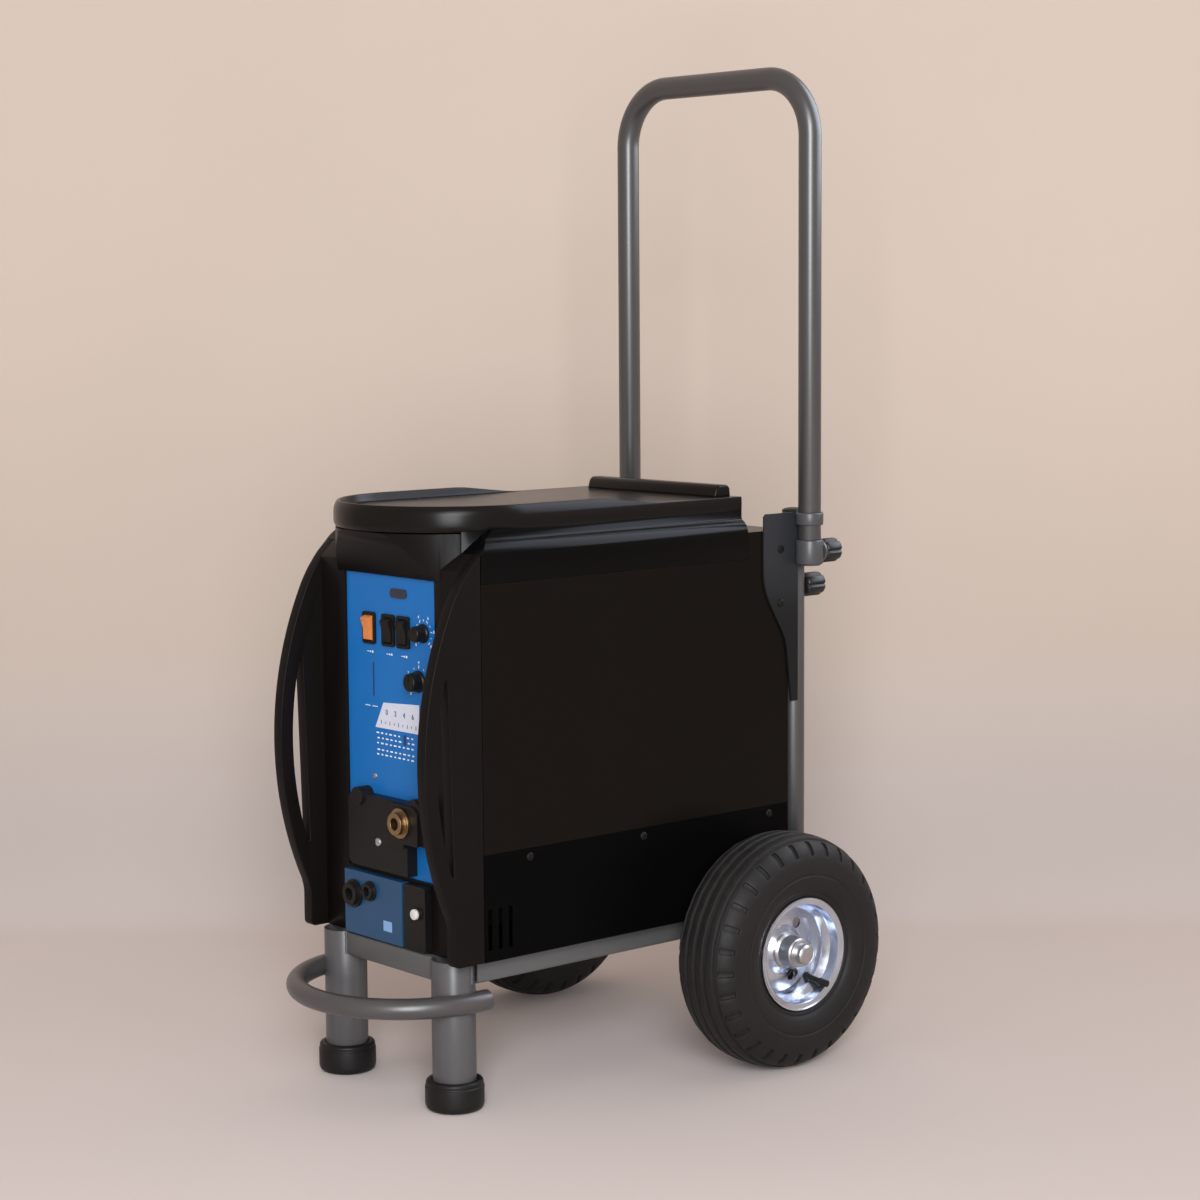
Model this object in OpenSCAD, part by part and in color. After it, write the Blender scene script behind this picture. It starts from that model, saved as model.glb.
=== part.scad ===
// Plasma cutter power unit on a two-wheeled tubular cart.
// +Z is up and the control panel faces -Y. The origin lies on the floor,
// under the middle of the whole unit. Sizes are in millimetres.

/* [Wheels] */
// Outside diameter of the pneumatic tyre
tyre_d = 257; // [240:1:280]
// Width of the tyre across its sidewalls
tyre_w = 86; // [74:1:90]
// Distance between the two wheels' mid planes
track = 412; // [405:1:460]
// Diameter of the steel rim across its lips
rim_d = 124; // [112:1:130]
// Diameter of the hub tube
hub_d = 34; // [28:1:40]
// Length of the hub tube
hub_l = 60; // [50:1:64]
// Diameter of the axle rod
axle_d = 15.9; // [12:0.1:19]
// Number of lugs round each shoulder of a tyre
lug_count = 24; // [16:1:30]
// Number of holes in a rim's disc
rim_holes = 4; // [3:1:6]

/* [Cart frame] */
// Side of the square frame tube
rail = 25.4; // [20:0.1:30]
// Wall of the frame tubes
tube_wall = 2; // [1.5:0.1:3]
// Height of the rails' underside above the axle's centre
rail_over_axle = 4.5; // [3:0.1:7]
// Diameter of the two front legs
leg_d = 46; // [38:1:50]
// Distance from the middle plane to a front leg's axis
leg_x = 96; // [90:1:105]
// Diameter of a rubber foot
foot_d = 62; // [54:1:70]
// Height of a rubber foot
foot_h = 32; // [24:1:40]
// Diameter of the bumper bar
bumper_d = 22; // [16:1:26]
// Height of the bumper bar's centre line
bumper_z = 115; // [100:1:120]

/* [Posts and handle] */
// Diameter of the round tube of the posts and the handle
tube_d = 25.4; // [22:0.1:27]
// Overall height of the unit with the handle up
handle_top = 1088; // [950:1:1150]
// Bend radius of the handle's corners on the tube's centre line
handle_bend = 66; // [50:1:90]
// Height of the posts above the sheet-metal case
post_rise = 18.6; // [14:0.1:24]
// Distance from the posts' top down to the clamp knob's axis
clamp_drop = 44; // [40:1:60]
// Distance from the clamp knob down to the hold-down knob
knob_pitch = 40; // [34:1:60]
// Diameter of the black knobs
knob_d = 27; // [20:1:28]
// Length of the black knobs
knob_l = 23; // [16:1:28]
// Diameter of the knobs' threaded studs
stud_d = 8; // [6:0.5:10]

/* [Case] */
// Width of the case
case_w = 270; // [250:1:280]
// Length of the case behind the front bezel
case_l = 434; // [400:1:460]
// Height of the sheet-metal case
case_h = 420; // [400:1:450]
// Height of the base tray's sides
tray_h = 112; // [90:1:130]
// How far the case reaches behind the axle
case_rear = 81; // [75:1:95]
// Thickness of the case's sheet metal
sheet = 1.6; // [1:0.1:2.5]

/* [Front bezel] */
// Depth of the bezel's foot
bezel_depth = 39; // [34:1:46]
// Thickness of a side cheek
cheek_t = 14; // [11:1:18]
// How far the cheeks bow out ahead of the bezel's foot
bow_reach = 34.7; // [28:0.1:40]
// Radius of the cheeks' front outline
bow_r = 389; // [360:1:430]
// Thickness of the bar in front of a cheek's hand slot
bar_t = 16; // [12:0.5:18]
// Half width of the opening for the control panels
panel_x = 79; // [74:1:84]

/* [Top cover] */
// Height of the moulded cover above the case
cover_h = 39; // [34:1:46]
// Half width of the cover's upper slab
slab_x = 125; // [118:1:130]
// How far the cover reaches ahead of the bezel's foot
cover_reach = 18.5; // [12:0.5:26]
// Height of the lip round the top tray
lip_h = 9; // [6:0.5:12]
// Thickness of the lip
lip_t = 7; // [5:0.5:10]

/* [Controls] */
// Height of a rocker switch's frame
rocker_h = 34; // [30:1:38]
// Width of a rocker switch's frame
rocker_w = 22; // [18:1:24]
// Tilt of a rocker to either side of its middle
rocker_tilt = 9; // [6:1:11]
// Diameter of the upper rotary knob
dial_d = 20; // [16:1:22]
// Diameter of the lower rotary knob
gauge_d = 23; // [18:1:26]

/* [Fan] */
// Side of the square fan frame
fan_side = 120; // [92:1:130]
// Depth of the fan frame
fan_depth = 38; // [25:1:45]
// Number of fan blades
blades = 7; // [5:1:9]

/* [Hidden] */

$fn = 64;
run_gap = 0.08;          // radial clearance of a running or sliding fit
part_gap = 0.3;          // gap between parts on different bodies
seat_gap = 0.2;          // gap between parts fastened together

// Heights
axle_z = tyre_d / 2;
rail_z = axle_z + rail_over_axle;
deck_z = rail_z + rail;                  // top of the rails, under the case
wrap_z = deck_z + tray_h;                // joint between tray and wrap
roof_z = deck_z + case_h;                // top of the sheet-metal case
slab_z = roof_z + 20;                    // underside of the cover's slab
top_z = roof_z + cover_h;                // floor of the top tray
post_z = roof_z + post_rise;
clamp_z = post_z - clamp_drop;
hold_z = clamp_z - knob_pitch;

// Depths, measured from the axle
seam_y = case_rear - case_l;             // joint between case and bezel
foot_y = seam_y - bezel_depth;           // front of the bezel's foot
leg_y = seam_y - 12;
bow_y = foot_y - bow_reach;              // foremost point of the cheeks
lip_y = foot_y - cover_reach;            // foremost point of the cover
cover_end = case_rear - 61;
wall_y = seam_y - 17;                    // front of the bezel's wall
wall_t = 3;
panel_y = wall_y + wall_t + seat_gap;    // front of the control panel
panel_t = 2;
box_y = wall_y - 10;                     // front of the lower panel and blocks
post_y = case_rear + 5.3 + tube_d / 2;
bumper_r = leg_x + leg_d / 2 + 1;
bumper_y = leg_y + 15;
front_reach = bumper_y - bumper_r - bumper_d / 2;
boss_end = post_y + tube_d / 2 + 4.3;
rear_reach = boss_end + part_gap + knob_l;
axle_y = -(front_reach + rear_reach) / 2;

// Widths
case_x = case_w / 2;
gusset_t = 2.7;
gusset_x = case_x + seat_gap;
post_x = gusset_x + gusset_t - tube_d / 2;
handle_x = post_x + tube_d + 0.4;
rail_x = leg_x + 9.3;
rail_out = rail_x + rail / 2;
wheel_x = track / 2;
axle_half = wheel_x + hub_l / 2 + 10;
collar_t = 2.6;
collar_h = 27;

// Moves a module that is drawn round the axle to the unit's own origin.
module place() {
    translate([0, axle_y, 0]) children();
}

// Copies a left-hand piece to the right.
module on_side(side) {
    if (side > 0) children();
    else mirror([1, 0, 0]) children();
}

// Extrudes an outline in Y and Z between two X positions.
module across(x0, x1) {
    translate([x0, 0, 0]) rotate([90, 0, 90]) linear_extrude(x1 - x0) children();
}

// Extrudes an outline in X and Z from y0 back to y1.
module along(y0, y1) {
    translate([0, y1, 0]) rotate([90, 0, 0]) linear_extrude(y1 - y0) children();
}

// A block between two corners.
module block(a, b) {
    translate(a) cube(b - a);
}

// A cylinder along X or Y, centred on a point.
module rod_x(c, d, x0, x1) {
    translate([x0, c[0], c[1]]) rotate([0, 90, 0]) cylinder(d = d, h = x1 - x0);
}

module rod_y(c, d, y0, y1) {
    translate([c[0], y1, c[1]]) rotate([90, 0, 0]) cylinder(d = d, h = y1 - y0);
}

// An upright tube.
module pipe(c, d, wall, z0, z1) {
    difference() {
        translate([c[0], c[1], z0]) cylinder(d = d, h = z1 - z0);
        translate([c[0], c[1], z0 - 1]) cylinder(d = d - 2 * wall, h = z1 - z0 + 2);
    }
}

// Points on an arc.
function arc(c, r, a0, a1, n) = [for (i = [0:n])
    c + r * [cos(a0 + (a1 - a0) * i / n), sin(a0 + (a1 - a0) * i / n)]];

// Corner points of a rectangle with round corners.
function round_rect(c, w, h, r) = concat(
    arc(c + [w / 2 - r, h / 2 - r], r, 0, 90, 5), arc(c + [r - w / 2, h / 2 - r], r, 90, 180, 5),
    arc(c + [r - w / 2, r - h / 2], r, 180, 270, 5), arc(c + [w / 2 - r, r - h / 2], r, 270, 360, 5));

// A point list followed by its mirror image in the first coordinate's opposite sign.
function both(p) = concat(p, [for (i = [len(p) - 1:-1:0]) [-p[i][0], p[i][1]]]);

// ---------------------------------------------------------------- cart

module side_rail(side) {
    y0 = leg_y + leg_d / 2 - 4;
    y1 = post_y - rail / 2;
    on_side(side) place() difference() {
        block([rail_x - rail / 2, y0, rail_z], [rail_x + rail / 2, y1, deck_z]);
        block([rail_x - rail / 2 + tube_wall, y0 - 1, rail_z + tube_wall],
              [rail_x + rail / 2 - tube_wall, y1 + 1, deck_z - tube_wall]);
        translate([leg_x, leg_y, rail_z - 1]) cylinder(d = leg_d + 0.1, h = rail + 2);
        rod_x([0, axle_z], axle_d + 0.3, rail_x - rail, rail_x + rail);
    }
}

module rail_front() {
    color("dimgray") place() difference() {
        block([-leg_x, leg_y - rail / 2, rail_z], [leg_x, leg_y + rail / 2, deck_z]);
        block([-leg_x - 1, leg_y - rail / 2 + tube_wall, rail_z + tube_wall],
              [leg_x + 1, leg_y + rail / 2 - tube_wall, deck_z - tube_wall]);
        for (s = [-1, 1]) translate([s * leg_x, leg_y, rail_z - 1])
            cylinder(d = leg_d + 0.1, h = rail + 2);
    }
}

module rail_rear() {
    half = post_x + tube_d / 2;
    color("dimgray") place() difference() {
        block([-half, post_y - rail / 2, rail_z], [half, post_y + rail / 2, deck_z]);
        block([-half - 1, post_y - rail / 2 + tube_wall, rail_z + tube_wall],
              [half + 1, post_y + rail / 2 - tube_wall, deck_z - tube_wall]);
    }
}

foot_floor = 8;          // rubber under a leg's end

module leg(side) {
    on_side(side) place() pipe([leg_x, leg_y], leg_d, 2.5, foot_floor, deck_z);
}

module foot(side) {
    r = foot_d / 2;
    on_side(side) place() translate([leg_x, leg_y, 0]) rotate_extrude($fn = 72) difference() {
        polygon([[0, 0], [r - 5, 0], [r - 1, 3], [r, 8], [r, foot_h - 6], [r - 1, foot_h - 5],
            [r - 1, foot_h - 1.5], [r - 2.5, foot_h], [0, foot_h]]);
        translate([-1, foot_floor]) square([leg_d / 2 + 1.05, foot_h]);
    }
}

// Half ring ahead of the legs, with short straight ends coped onto them.
module bumper_bar() {
    color("dimgray") place() difference() {
        translate([0, bumper_y, bumper_z]) union() {
            rotate([0, 0, 180]) rotate_extrude(angle = 180, $fn = 96)
                translate([bumper_r, 0]) circle(d = bumper_d, $fn = 40);
            for (s = [-1, 1]) translate([s * bumper_r, 0, 0]) rotate([-90, 0, 0])
                cylinder(d = bumper_d, h = 12, $fn = 40);
        }
        for (s = [-1, 1]) translate([s * leg_x, leg_y, bumper_z - bumper_d])
            cylinder(d = leg_d + 0.1, h = 2 * bumper_d);
    }
}

module axle_rod() {
    color("silver") place() rod_x([0, axle_z], axle_d, -axle_half, axle_half);
}

// Spacer tubes, outer washers and push-on caps that keep the wheels in place.
module axle_fittings() {
    spacer_d = 24;
    cap_r = axle_d / 2 + 3;
    inner = wheel_x - hub_l / 2 - part_gap;
    outer = wheel_x + hub_l / 2 + part_gap;
    color("silver") place() for (s = [0, 1]) mirror([s, 0, 0]) difference() {
        union() {
            rod_x([0, axle_z], spacer_d, rail_out, inner);
            rod_x([0, axle_z], spacer_d + 6, outer, outer + 2.5);
            rod_x([0, axle_z], 2 * cap_r, outer + 2.5, outer + 10);
            translate([outer + 10, 0, axle_z]) rotate([0, 90, 0])
                cylinder(r1 = cap_r, r2 = cap_r - 3, h = 2);
        }
        rod_x([0, axle_z], axle_d + 0.1, rail_out - 1, axle_half + 0.05);
    }
}

// Upright tube with a cross hole for the hold-down knob's stud.
module post(side) {
    on_side(side) place() difference() {
        pipe([post_x, post_y], tube_d, tube_wall, deck_z, post_z);
        rod_y([post_x, hold_z], stud_d + 2 * run_gap, case_rear, boss_end + 10);
    }
}

module post_caps() {
    r = tube_d / 2;
    color([0.05, 0.05, 0.05]) place() for (s = [-1, 1])
        translate([s * post_x, post_y, post_z]) rotate_extrude($fn = 48) polygon([
            [0, -10], [r - tube_wall - 0.05, -10], [r - tube_wall - 0.05, 0], [r, 0],
            [r, 1.5], [r - 2, 3], [r - 6, 4], [0, 4.4]]);
}

// Side plate that ties the case to a post. Its front edge sweeps back as it goes down.
module gusset(side) {
    h = 212;                     // height of the plate
    depth = 52;                  // depth of its upper part
    y1 = post_y - 5;
    z1 = post_z;
    sweep = [for (t = [0:0.1:1])
        [y1 - 17 - (depth - 17) * pow(cos(90 * t), 1.5), z1 - 67 - 84 * t]];
    color("dimgray") on_side(side) place() difference() {
        across(gusset_x, gusset_x + gusset_t) polygon(concat(
            [[y1, z1], [y1 - depth + 3, z1], [y1 - depth, z1 - 3]], sweep,
            [[y1 - 10, z1 - h], [y1, z1 - h]]));
        translate([post_x, post_y, z1 - h - 1]) cylinder(d = tube_d + 0.1, h = h + 2);
        for (dz = [40, 100]) rod_x([case_rear - 14, z1 - dz], 4.4, gusset_x - 1, gusset_x + 5);
    }
}

// Collar and upper ring in which a handle leg slides, welded to the outside of the post.
module guide(side) {
    bore = tube_d + 2 * run_gap;
    on_side(side) place() difference() {
        union() {
            translate([handle_x, post_y, clamp_z - collar_h / 2])
                cylinder(d = bore + 2 * collar_t, h = collar_h);
            translate([handle_x, post_y, post_z - 14])
                cylinder(d = bore + 2 * collar_t, h = 14);
            rod_y([handle_x, clamp_z], knob_d - 2, post_y, boss_end);
            rod_y([handle_x, post_z - 7], 7, post_y, post_y + tube_d / 2 + 6);
        }
        translate([handle_x, post_y, clamp_z - collar_h]) cylinder(d = bore, h = post_z);
        translate([post_x, post_y, clamp_z - collar_h]) cylinder(d = tube_d + 0.1, h = post_z);
        rod_y([handle_x, clamp_z], stud_d + 2 * run_gap, post_y, boss_end + 1);
        block([0, 0, clamp_z - collar_h], [gusset_x + gusset_t + 0.05, post_y, post_z + 1]);
    }
}

// ---------------------------------------------------------------- handle and knobs

// U-shaped handle whose legs slide in the guides.
module handle_tube() {
    z0 = clamp_z - collar_h / 2 - 1.5;
    bar_z = handle_top - tube_d / 2;
    bore = tube_d - 2 * tube_wall;
    span = handle_x - handle_bend;
    color("dimgray") place() translate([0, post_y, 0]) {
        for (s = [0, 1]) mirror([s, 0, 0]) {
            pipe([handle_x, 0], tube_d, tube_wall, z0, bar_z - handle_bend);
            translate([span, 0, bar_z - handle_bend]) rotate([90, 0, 0])
                rotate_extrude(angle = 90) translate([handle_bend, 0]) difference() {
                    circle(d = tube_d, $fn = 40);
                    circle(d = bore, $fn = 40);
                }
        }
        translate([0, 0, bar_z]) difference() {
            rod_x([0, 0], tube_d, -span, span);
            rod_x([0, 0], bore, -span - 1, span + 1);
        }
    }
}

// Black star knob with a threaded stud that points to the front.
module knob(x, z, y0, y_tip) {
    h = rear_reach - y0;
    r = knob_d / 2;
    grips = 6;
    translate([x, y0, z]) rotate([-90, 0, 0]) {
        difference() {
            rotate_extrude($fn = 60) polygon([[0, 0], [r - 3, 0], [r - 0.8, 1], [r, 3],
                [r, h - 3], [r - 0.9, h - 0.9], [r - 3, h], [0, h]]);
            for (i = [0:grips - 1]) rotate([0, 0, i * 360 / grips])
                translate([r + 2.4, 0, 6]) cylinder(d = 8, h = h, $fn = 24);
        }
    }
    rod_y([x, z], stud_d, y_tip, y0 + 1);
}

module clamp_knob(side) {
    color([0.05, 0.05, 0.05]) on_side(side) place()
        knob(handle_x, clamp_z, boss_end + part_gap, post_y + tube_d / 2 + part_gap);
}

module hold_knob(side) {
    color([0.05, 0.05, 0.05]) on_side(side) place()
        knob(post_x, hold_z, post_y + tube_d / 2 + part_gap, case_rear - 11);
}

// ---------------------------------------------------------------- wheels

// Turns an outline of [offset from the mid plane, radius] about the axle.
module wheel_turn(side, pts, n) {
    on_side(side) place() translate([wheel_x, 0, axle_z]) rotate([0, 90, 0])
        rotate_extrude($fn = n) polygon([for (p = pts) [p[1], p[0]]]);
}

rim_half = tyre_w / 2 - 8;               // half width of the rim at its lips
rim_r = rim_d / 2;

// Pneumatic tyre: hollow carcass, three tread grooves and shoulder notches.
module tyre(side) {
    a = tyre_w / 2;
    r = tyre_d / 2;
    mid_r = rim_r + 27;
    crown = [for (t = [4:6:90]) [a * pow(sin(t), 0.72), mid_r + (r - mid_r) * pow(cos(t), 0.72)]];
    wall = [[a - 0.5, rim_r + 18], [a - 2.6, rim_r + 10], [a - 6, rim_r + 4],
        [rim_half - 0.9, rim_r + 1.2], [rim_half - 2, rim_r - 0.5], [rim_half - 2, rim_r - 6]];
    inside = [[rim_half - 9, rim_r - 6], [rim_half - 9, rim_r - 1], [a - 12, rim_r + 7],
        [a - 6.5, rim_r + 17], [a - 5, mid_r + 2], [a - 6.5, r - 25], [a - 13, r - 14],
        [a - 24, r - 10], [5, r - 9]];
    color([0.13, 0.13, 0.13]) difference() {
        wheel_turn(side, both(concat(crown, wall, inside)), 96);
        for (g = [-13, 0, 13]) wheel_turn(side, [[g - 2, r - 4], [g + 2, r - 4],
            [g + 2, r + 2], [g - 2, r + 2]], 96);
        on_side(side) place() translate([wheel_x, 0, axle_z])
            for (i = [0:lug_count - 1], s = [-1, 1])
                rotate([(i + s / 4) * 360 / lug_count, 0, 0])
                    translate([s * (a - 8.5), 0, r - 4]) cube([15, 5, 18], center = true);
    }
}

// Pressed rim with rolled lips, a deep well and a flat disc in its middle.
module rim(side) {
    well_r = rim_r - 13;
    disc_r = well_r - 1.5;
    disc_hole = hub_d / 2 + 0.05;
    half = [[rim_half - 19, well_r], [rim_half - 12, rim_r - 6.1], [rim_half - 1.8, rim_r - 6.1],
        [rim_half - 1.8, rim_r - 0.6], [rim_half - 0.4, rim_r], [rim_half + 1.2, rim_r - 0.4],
        [rim_half + 1.6, rim_r - 1.6], [rim_half + 0.4, rim_r - 2.4], [rim_half + 0.2, rim_r - 6],
        [rim_half - 1.6, rim_r - 8], [rim_half - 11.4, rim_r - 8], [rim_half - 18.4, well_r - 2]];
    color("gainsboro") difference() {
        union() {
            wheel_turn(side, both(half), 96);
            wheel_turn(side, [[-1.2, disc_hole], [-1.2, disc_r], [1.2, disc_r], [1.2, disc_hole]], 96);
        }
        on_side(side) place() translate([wheel_x, 0, axle_z]) {
            for (i = [0:rim_holes - 1]) rotate([i * 360 / rim_holes, 0, 0])
                translate([0, 0, well_r - 13]) rotate([0, 90, 0]) cylinder(d = 12, h = 8, center = true);
            valve_leg(10.1);
        }
    }
}

// Radial leg of the valve, through the rim's well behind and below the axle.
module valve_leg(d) {
    rotate([-146, 0, 0]) translate([11, 0, rim_r - 21]) cylinder(d = d, h = 13, $fn = 32);
}

// Rubber valve with a bent stem and a screw cap.
module valve(side) {
    color([0.06, 0.06, 0.06]) on_side(side) place() translate([wheel_x, 0, axle_z]) {
        valve_leg(10);
        rotate([-146, 0, 0]) translate([11, 0, rim_r - 20]) rotate([0, 90, 0]) {
            cylinder(d = 8, h = 18, $fn = 32);
            translate([0, 0, 18]) cylinder(d = 9, h = 10, $fn = 24);
        }
    }
}

// Hub tube with collars that grip the rim's disc.
module hub(side) {
    r = hub_d / 2;
    r_in = axle_d / 2 + run_gap;
    h = hub_l / 2;
    color("silver") wheel_turn(side, both([[1.25, r], [1.25, r + 7], [4, r + 7], [6, r + 2],
        [7, r], [h - 1.5, r], [h, r - 1.5], [h, r_in]]), 72);
}

// ---------------------------------------------------------------- case

slot_pitch = 13.5;

// Floor and lower sides of the case, with upright air slots near the front.
module base_tray() {
    color([0.06, 0.06, 0.06]) place() difference() {
        block([-case_x, seam_y, deck_z], [case_x, case_rear, wrap_z]);
        block([sheet - case_x, seam_y - 1, deck_z + sheet], [case_x - sheet, case_rear + 1, wrap_z + 1]);
        for (s = [-1, 1], i = [0:2])
            block([s * case_x - 3, seam_y + 4.5 + i * slot_pitch, deck_z + 12],
                  [s * case_x + 3, seam_y + 9.5 + i * slot_pitch, deck_z + 55]);
        for (y = screw_ys) rod_x([y, wrap_z - 9], 4.3, -case_x - 1, case_x + 1);
    }
}

screw_ys = [seam_y + 60, seam_y + case_l / 2, case_rear - 30];
band_h = 30;                             // height of the cover's skirt
step_t = 1.9;                            // inward step of the wrap under the skirt

// Folded sheet over the sides and top, stepped inward under the cover's skirt.
module case_wrap() {
    step_z = roof_z - band_h;
    step_y = cover_end + part_gap;
    in_x = case_x - sheet;
    low_x = in_x - seat_gap;
    color([0.09, 0.08, 0.07]) place() difference() {
        union() {
            block([-case_x, seam_y, wrap_z + seat_gap], [case_x, case_rear, roof_z]);
            block([-low_x, seam_y, wrap_z - 18], [low_x, case_rear, wrap_z + 3]);
        }
        block([-in_x, seam_y - 1, wrap_z + 3], [in_x, case_rear + 1, step_z - sheet]);
        block([sheet - low_x, seam_y - 1, wrap_z - 19], [low_x - sheet, case_rear + 1, wrap_z + 4]);
        block([step_t - in_x, seam_y - 1, step_z - 3], [in_x - step_t, case_rear + 1, roof_z - sheet]);
        block([-in_x, step_y + sheet, step_z - 3], [in_x, case_rear + 1, roof_z - sheet]);
        for (s = [0, 1]) mirror([s, 0, 0])
            block([case_x - step_t, seam_y - 1, step_z], [case_x + 1, step_y, roof_z + 1]);
        for (y = screw_ys) rod_x([y, wrap_z - 9], 4.3, -case_x, case_x);
        for (s = [-1, 1], dz = [40, 100])
            rod_x([case_rear - 14, post_z - dz], 4.3, s * case_x - 5, s * case_x + 5);
    }
}

// Screws that join the tray to the wrap and the gussets to the case.
module case_screws() {
    color([0.3, 0.3, 0.3]) place() for (s = [0, 1]) mirror([s, 0, 0]) {
        for (y = screw_ys) screw(case_x, y, wrap_z - 9);
        for (dz = [40, 100]) screw(gusset_x + gusset_t, case_rear - 14, post_z - dz);
    }
}

module screw(x, y, z) {
    translate([x, y, z]) rotate([0, 90, 0]) rotate_extrude($fn = 32)
        polygon([[0, -9], [2, -9], [2, 0], [4.5, 0], [4.1, 1.4], [2.8, 2.2], [0, 2.5]]);
}

// Space ahead of the rounded slope at the front of the case's top, in Y and Z.
module shoulder_slope() {
    polygon([[bow_y - 60, roof_z + 40], [seam_y + 40, roof_z + 40], [seam_y + 19.5, roof_z + 19.5],
        [seam_y, roof_z], [seam_y - 12, roof_z - 11.4], [seam_y - 21, roof_z - 22.4],
        [seam_y - 31, roof_z - 36.9], [bow_y - 60, roof_z - 226]]);
}

// The same space beside the cover's slab, which cuts the corners below it.
module shoulder_cut() {
    difference() {
        across(-case_x - 1, case_x + 1) shoulder_slope();
        translate([0, 0, roof_z - 60]) linear_extrude(102) slab_outline(1.5);
    }
}

// Outline of a cheek in Y and Z.
module cheek_outline() {
    bow_z = (deck_z + roof_z) / 2 - 4;
    difference() {
        union() {
            intersection() {
                translate([bow_y + bow_r, bow_z]) circle(r = bow_r, $fn = 200);
                translate([bow_y - 1, deck_z + 20]) square([seam_y - bow_y + 1, case_h - 20]);
            }
            translate([foot_y, deck_z + 6]) square([bezel_depth, case_h / 2]);
            translate([foot_y + 6, deck_z]) square([bezel_depth - 6, 7]);
            translate([foot_y + 6, deck_z + 6]) circle(r = 6, $fn = 32);
        }
        shoulder_slope();
        intersection() {
            translate([bow_y + bow_r, bow_z]) circle(r = bow_r - bar_t, $fn = 200);
            polygon([[bow_y, bow_z - 130], [bow_y, bow_z + 130], [foot_y - 6, bow_z + 130],
                [foot_y + 1, bow_z - 130]]);
        }
    }
}

// Moulded front: two bowed cheeks with hand slots, a framed wall and a brow under the cover.
module front_bezel() {
    in_x = case_x - cheek_t;
    brow_z = roof_z - band_h;
    brow_top = slab_z - seat_gap;
    color([0.12, 0.1, 0.1]) place() difference() {
        union() {
            across(in_x, case_x) cheek_outline();
            across(-case_x, -in_x) cheek_outline();
            difference() {
                block([-in_x, wall_y, deck_z], [in_x, seam_y, brow_top]);
                shoulder_cut();
            }
            intersection() {
                across(-in_x, in_x) polygon([[seam_y, brow_top], [lip_y + 6, brow_top], [lip_y + 11, brow_top - 6],
                    [lip_y + 19, brow_top - 17], [lip_y + 27, brow_top - 29], [lip_y + 34, brow_top - 40],
                    [wall_y, brow_top - 49], [seam_y, brow_top - 49]]);
                translate([0, 0, brow_z - 10]) linear_extrude(band_h + 40) slab_outline(1.5);
            }
        }
        // Hollow back, open to the case.
        block([3 - in_x, wall_y + wall_t, deck_z + 5], [in_x - 3, seam_y + 1, brow_z + 5]);
        for (s = [0, 1]) mirror([s, 0, 0])
            block([in_x + 3, seam_y - 30, deck_z + 9], [case_x - 3, seam_y + 1, roof_z - 44]);
        // Windows for the control panel and the lower sockets.
        block([-panel_x, wall_y - 1, deck_z + 74], [panel_x, wall_y + 5, brow_z + 1]);
        block([-68, wall_y - 1, deck_z + 8], [22, wall_y + 5, deck_z + 65]);
    }
}

fan_z = roof_z - 148;
inlet_z = deck_z + 72;

// Flat back sheet with the fan's round window, air slots and two fitting holes.
module rear_panel() {
    half = case_x - sheet - 2 * seat_gap - 2;
    y0 = case_rear - sheet;
    color([0.09, 0.08, 0.07]) place() difference() {
        union() {
            block([-half, y0, deck_z + sheet], [half, case_rear, roof_z - sheet]);
            for (s = [-1, 1]) rod_y([s * post_x, hold_z], 13, y0 - 8, y0 + 0.5);
        }
        for (s = [-1, 1]) rod_y([s * post_x, hold_z], stud_d + 2 * run_gap, y0 - 9, case_rear + 1);
        rod_y([0, fan_z], fan_side - 6, y0 - 1, case_rear + 1);
        for (x = [-1, 1], z = [-1, 1])
            rod_y([x * (fan_side / 2 - 7.5), fan_z + z * (fan_side / 2 - 7.5)], 4.3, y0 - 1, case_rear + 1);
        for (i = [0:5]) block([-45, y0 - 1, deck_z + 120 + i * 12], [45, case_rear + 1, deck_z + 125 + i * 12]);
        for (s = [-1, 1]) rod_y([s * 62, inlet_z], 20.1, y0 - 1, case_rear + 1);
    }
}

// Outline of the cover's slab in X and Y, shrunk by m.
module slab_outline(m) {
    mid_y = lip_y + slab_x;
    translate([0, mid_y]) circle(r = slab_x - m, $fn = 160);
    translate([m - slab_x, mid_y]) square([2 * (slab_x - m), cover_end - m - mid_y]);
}

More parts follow.
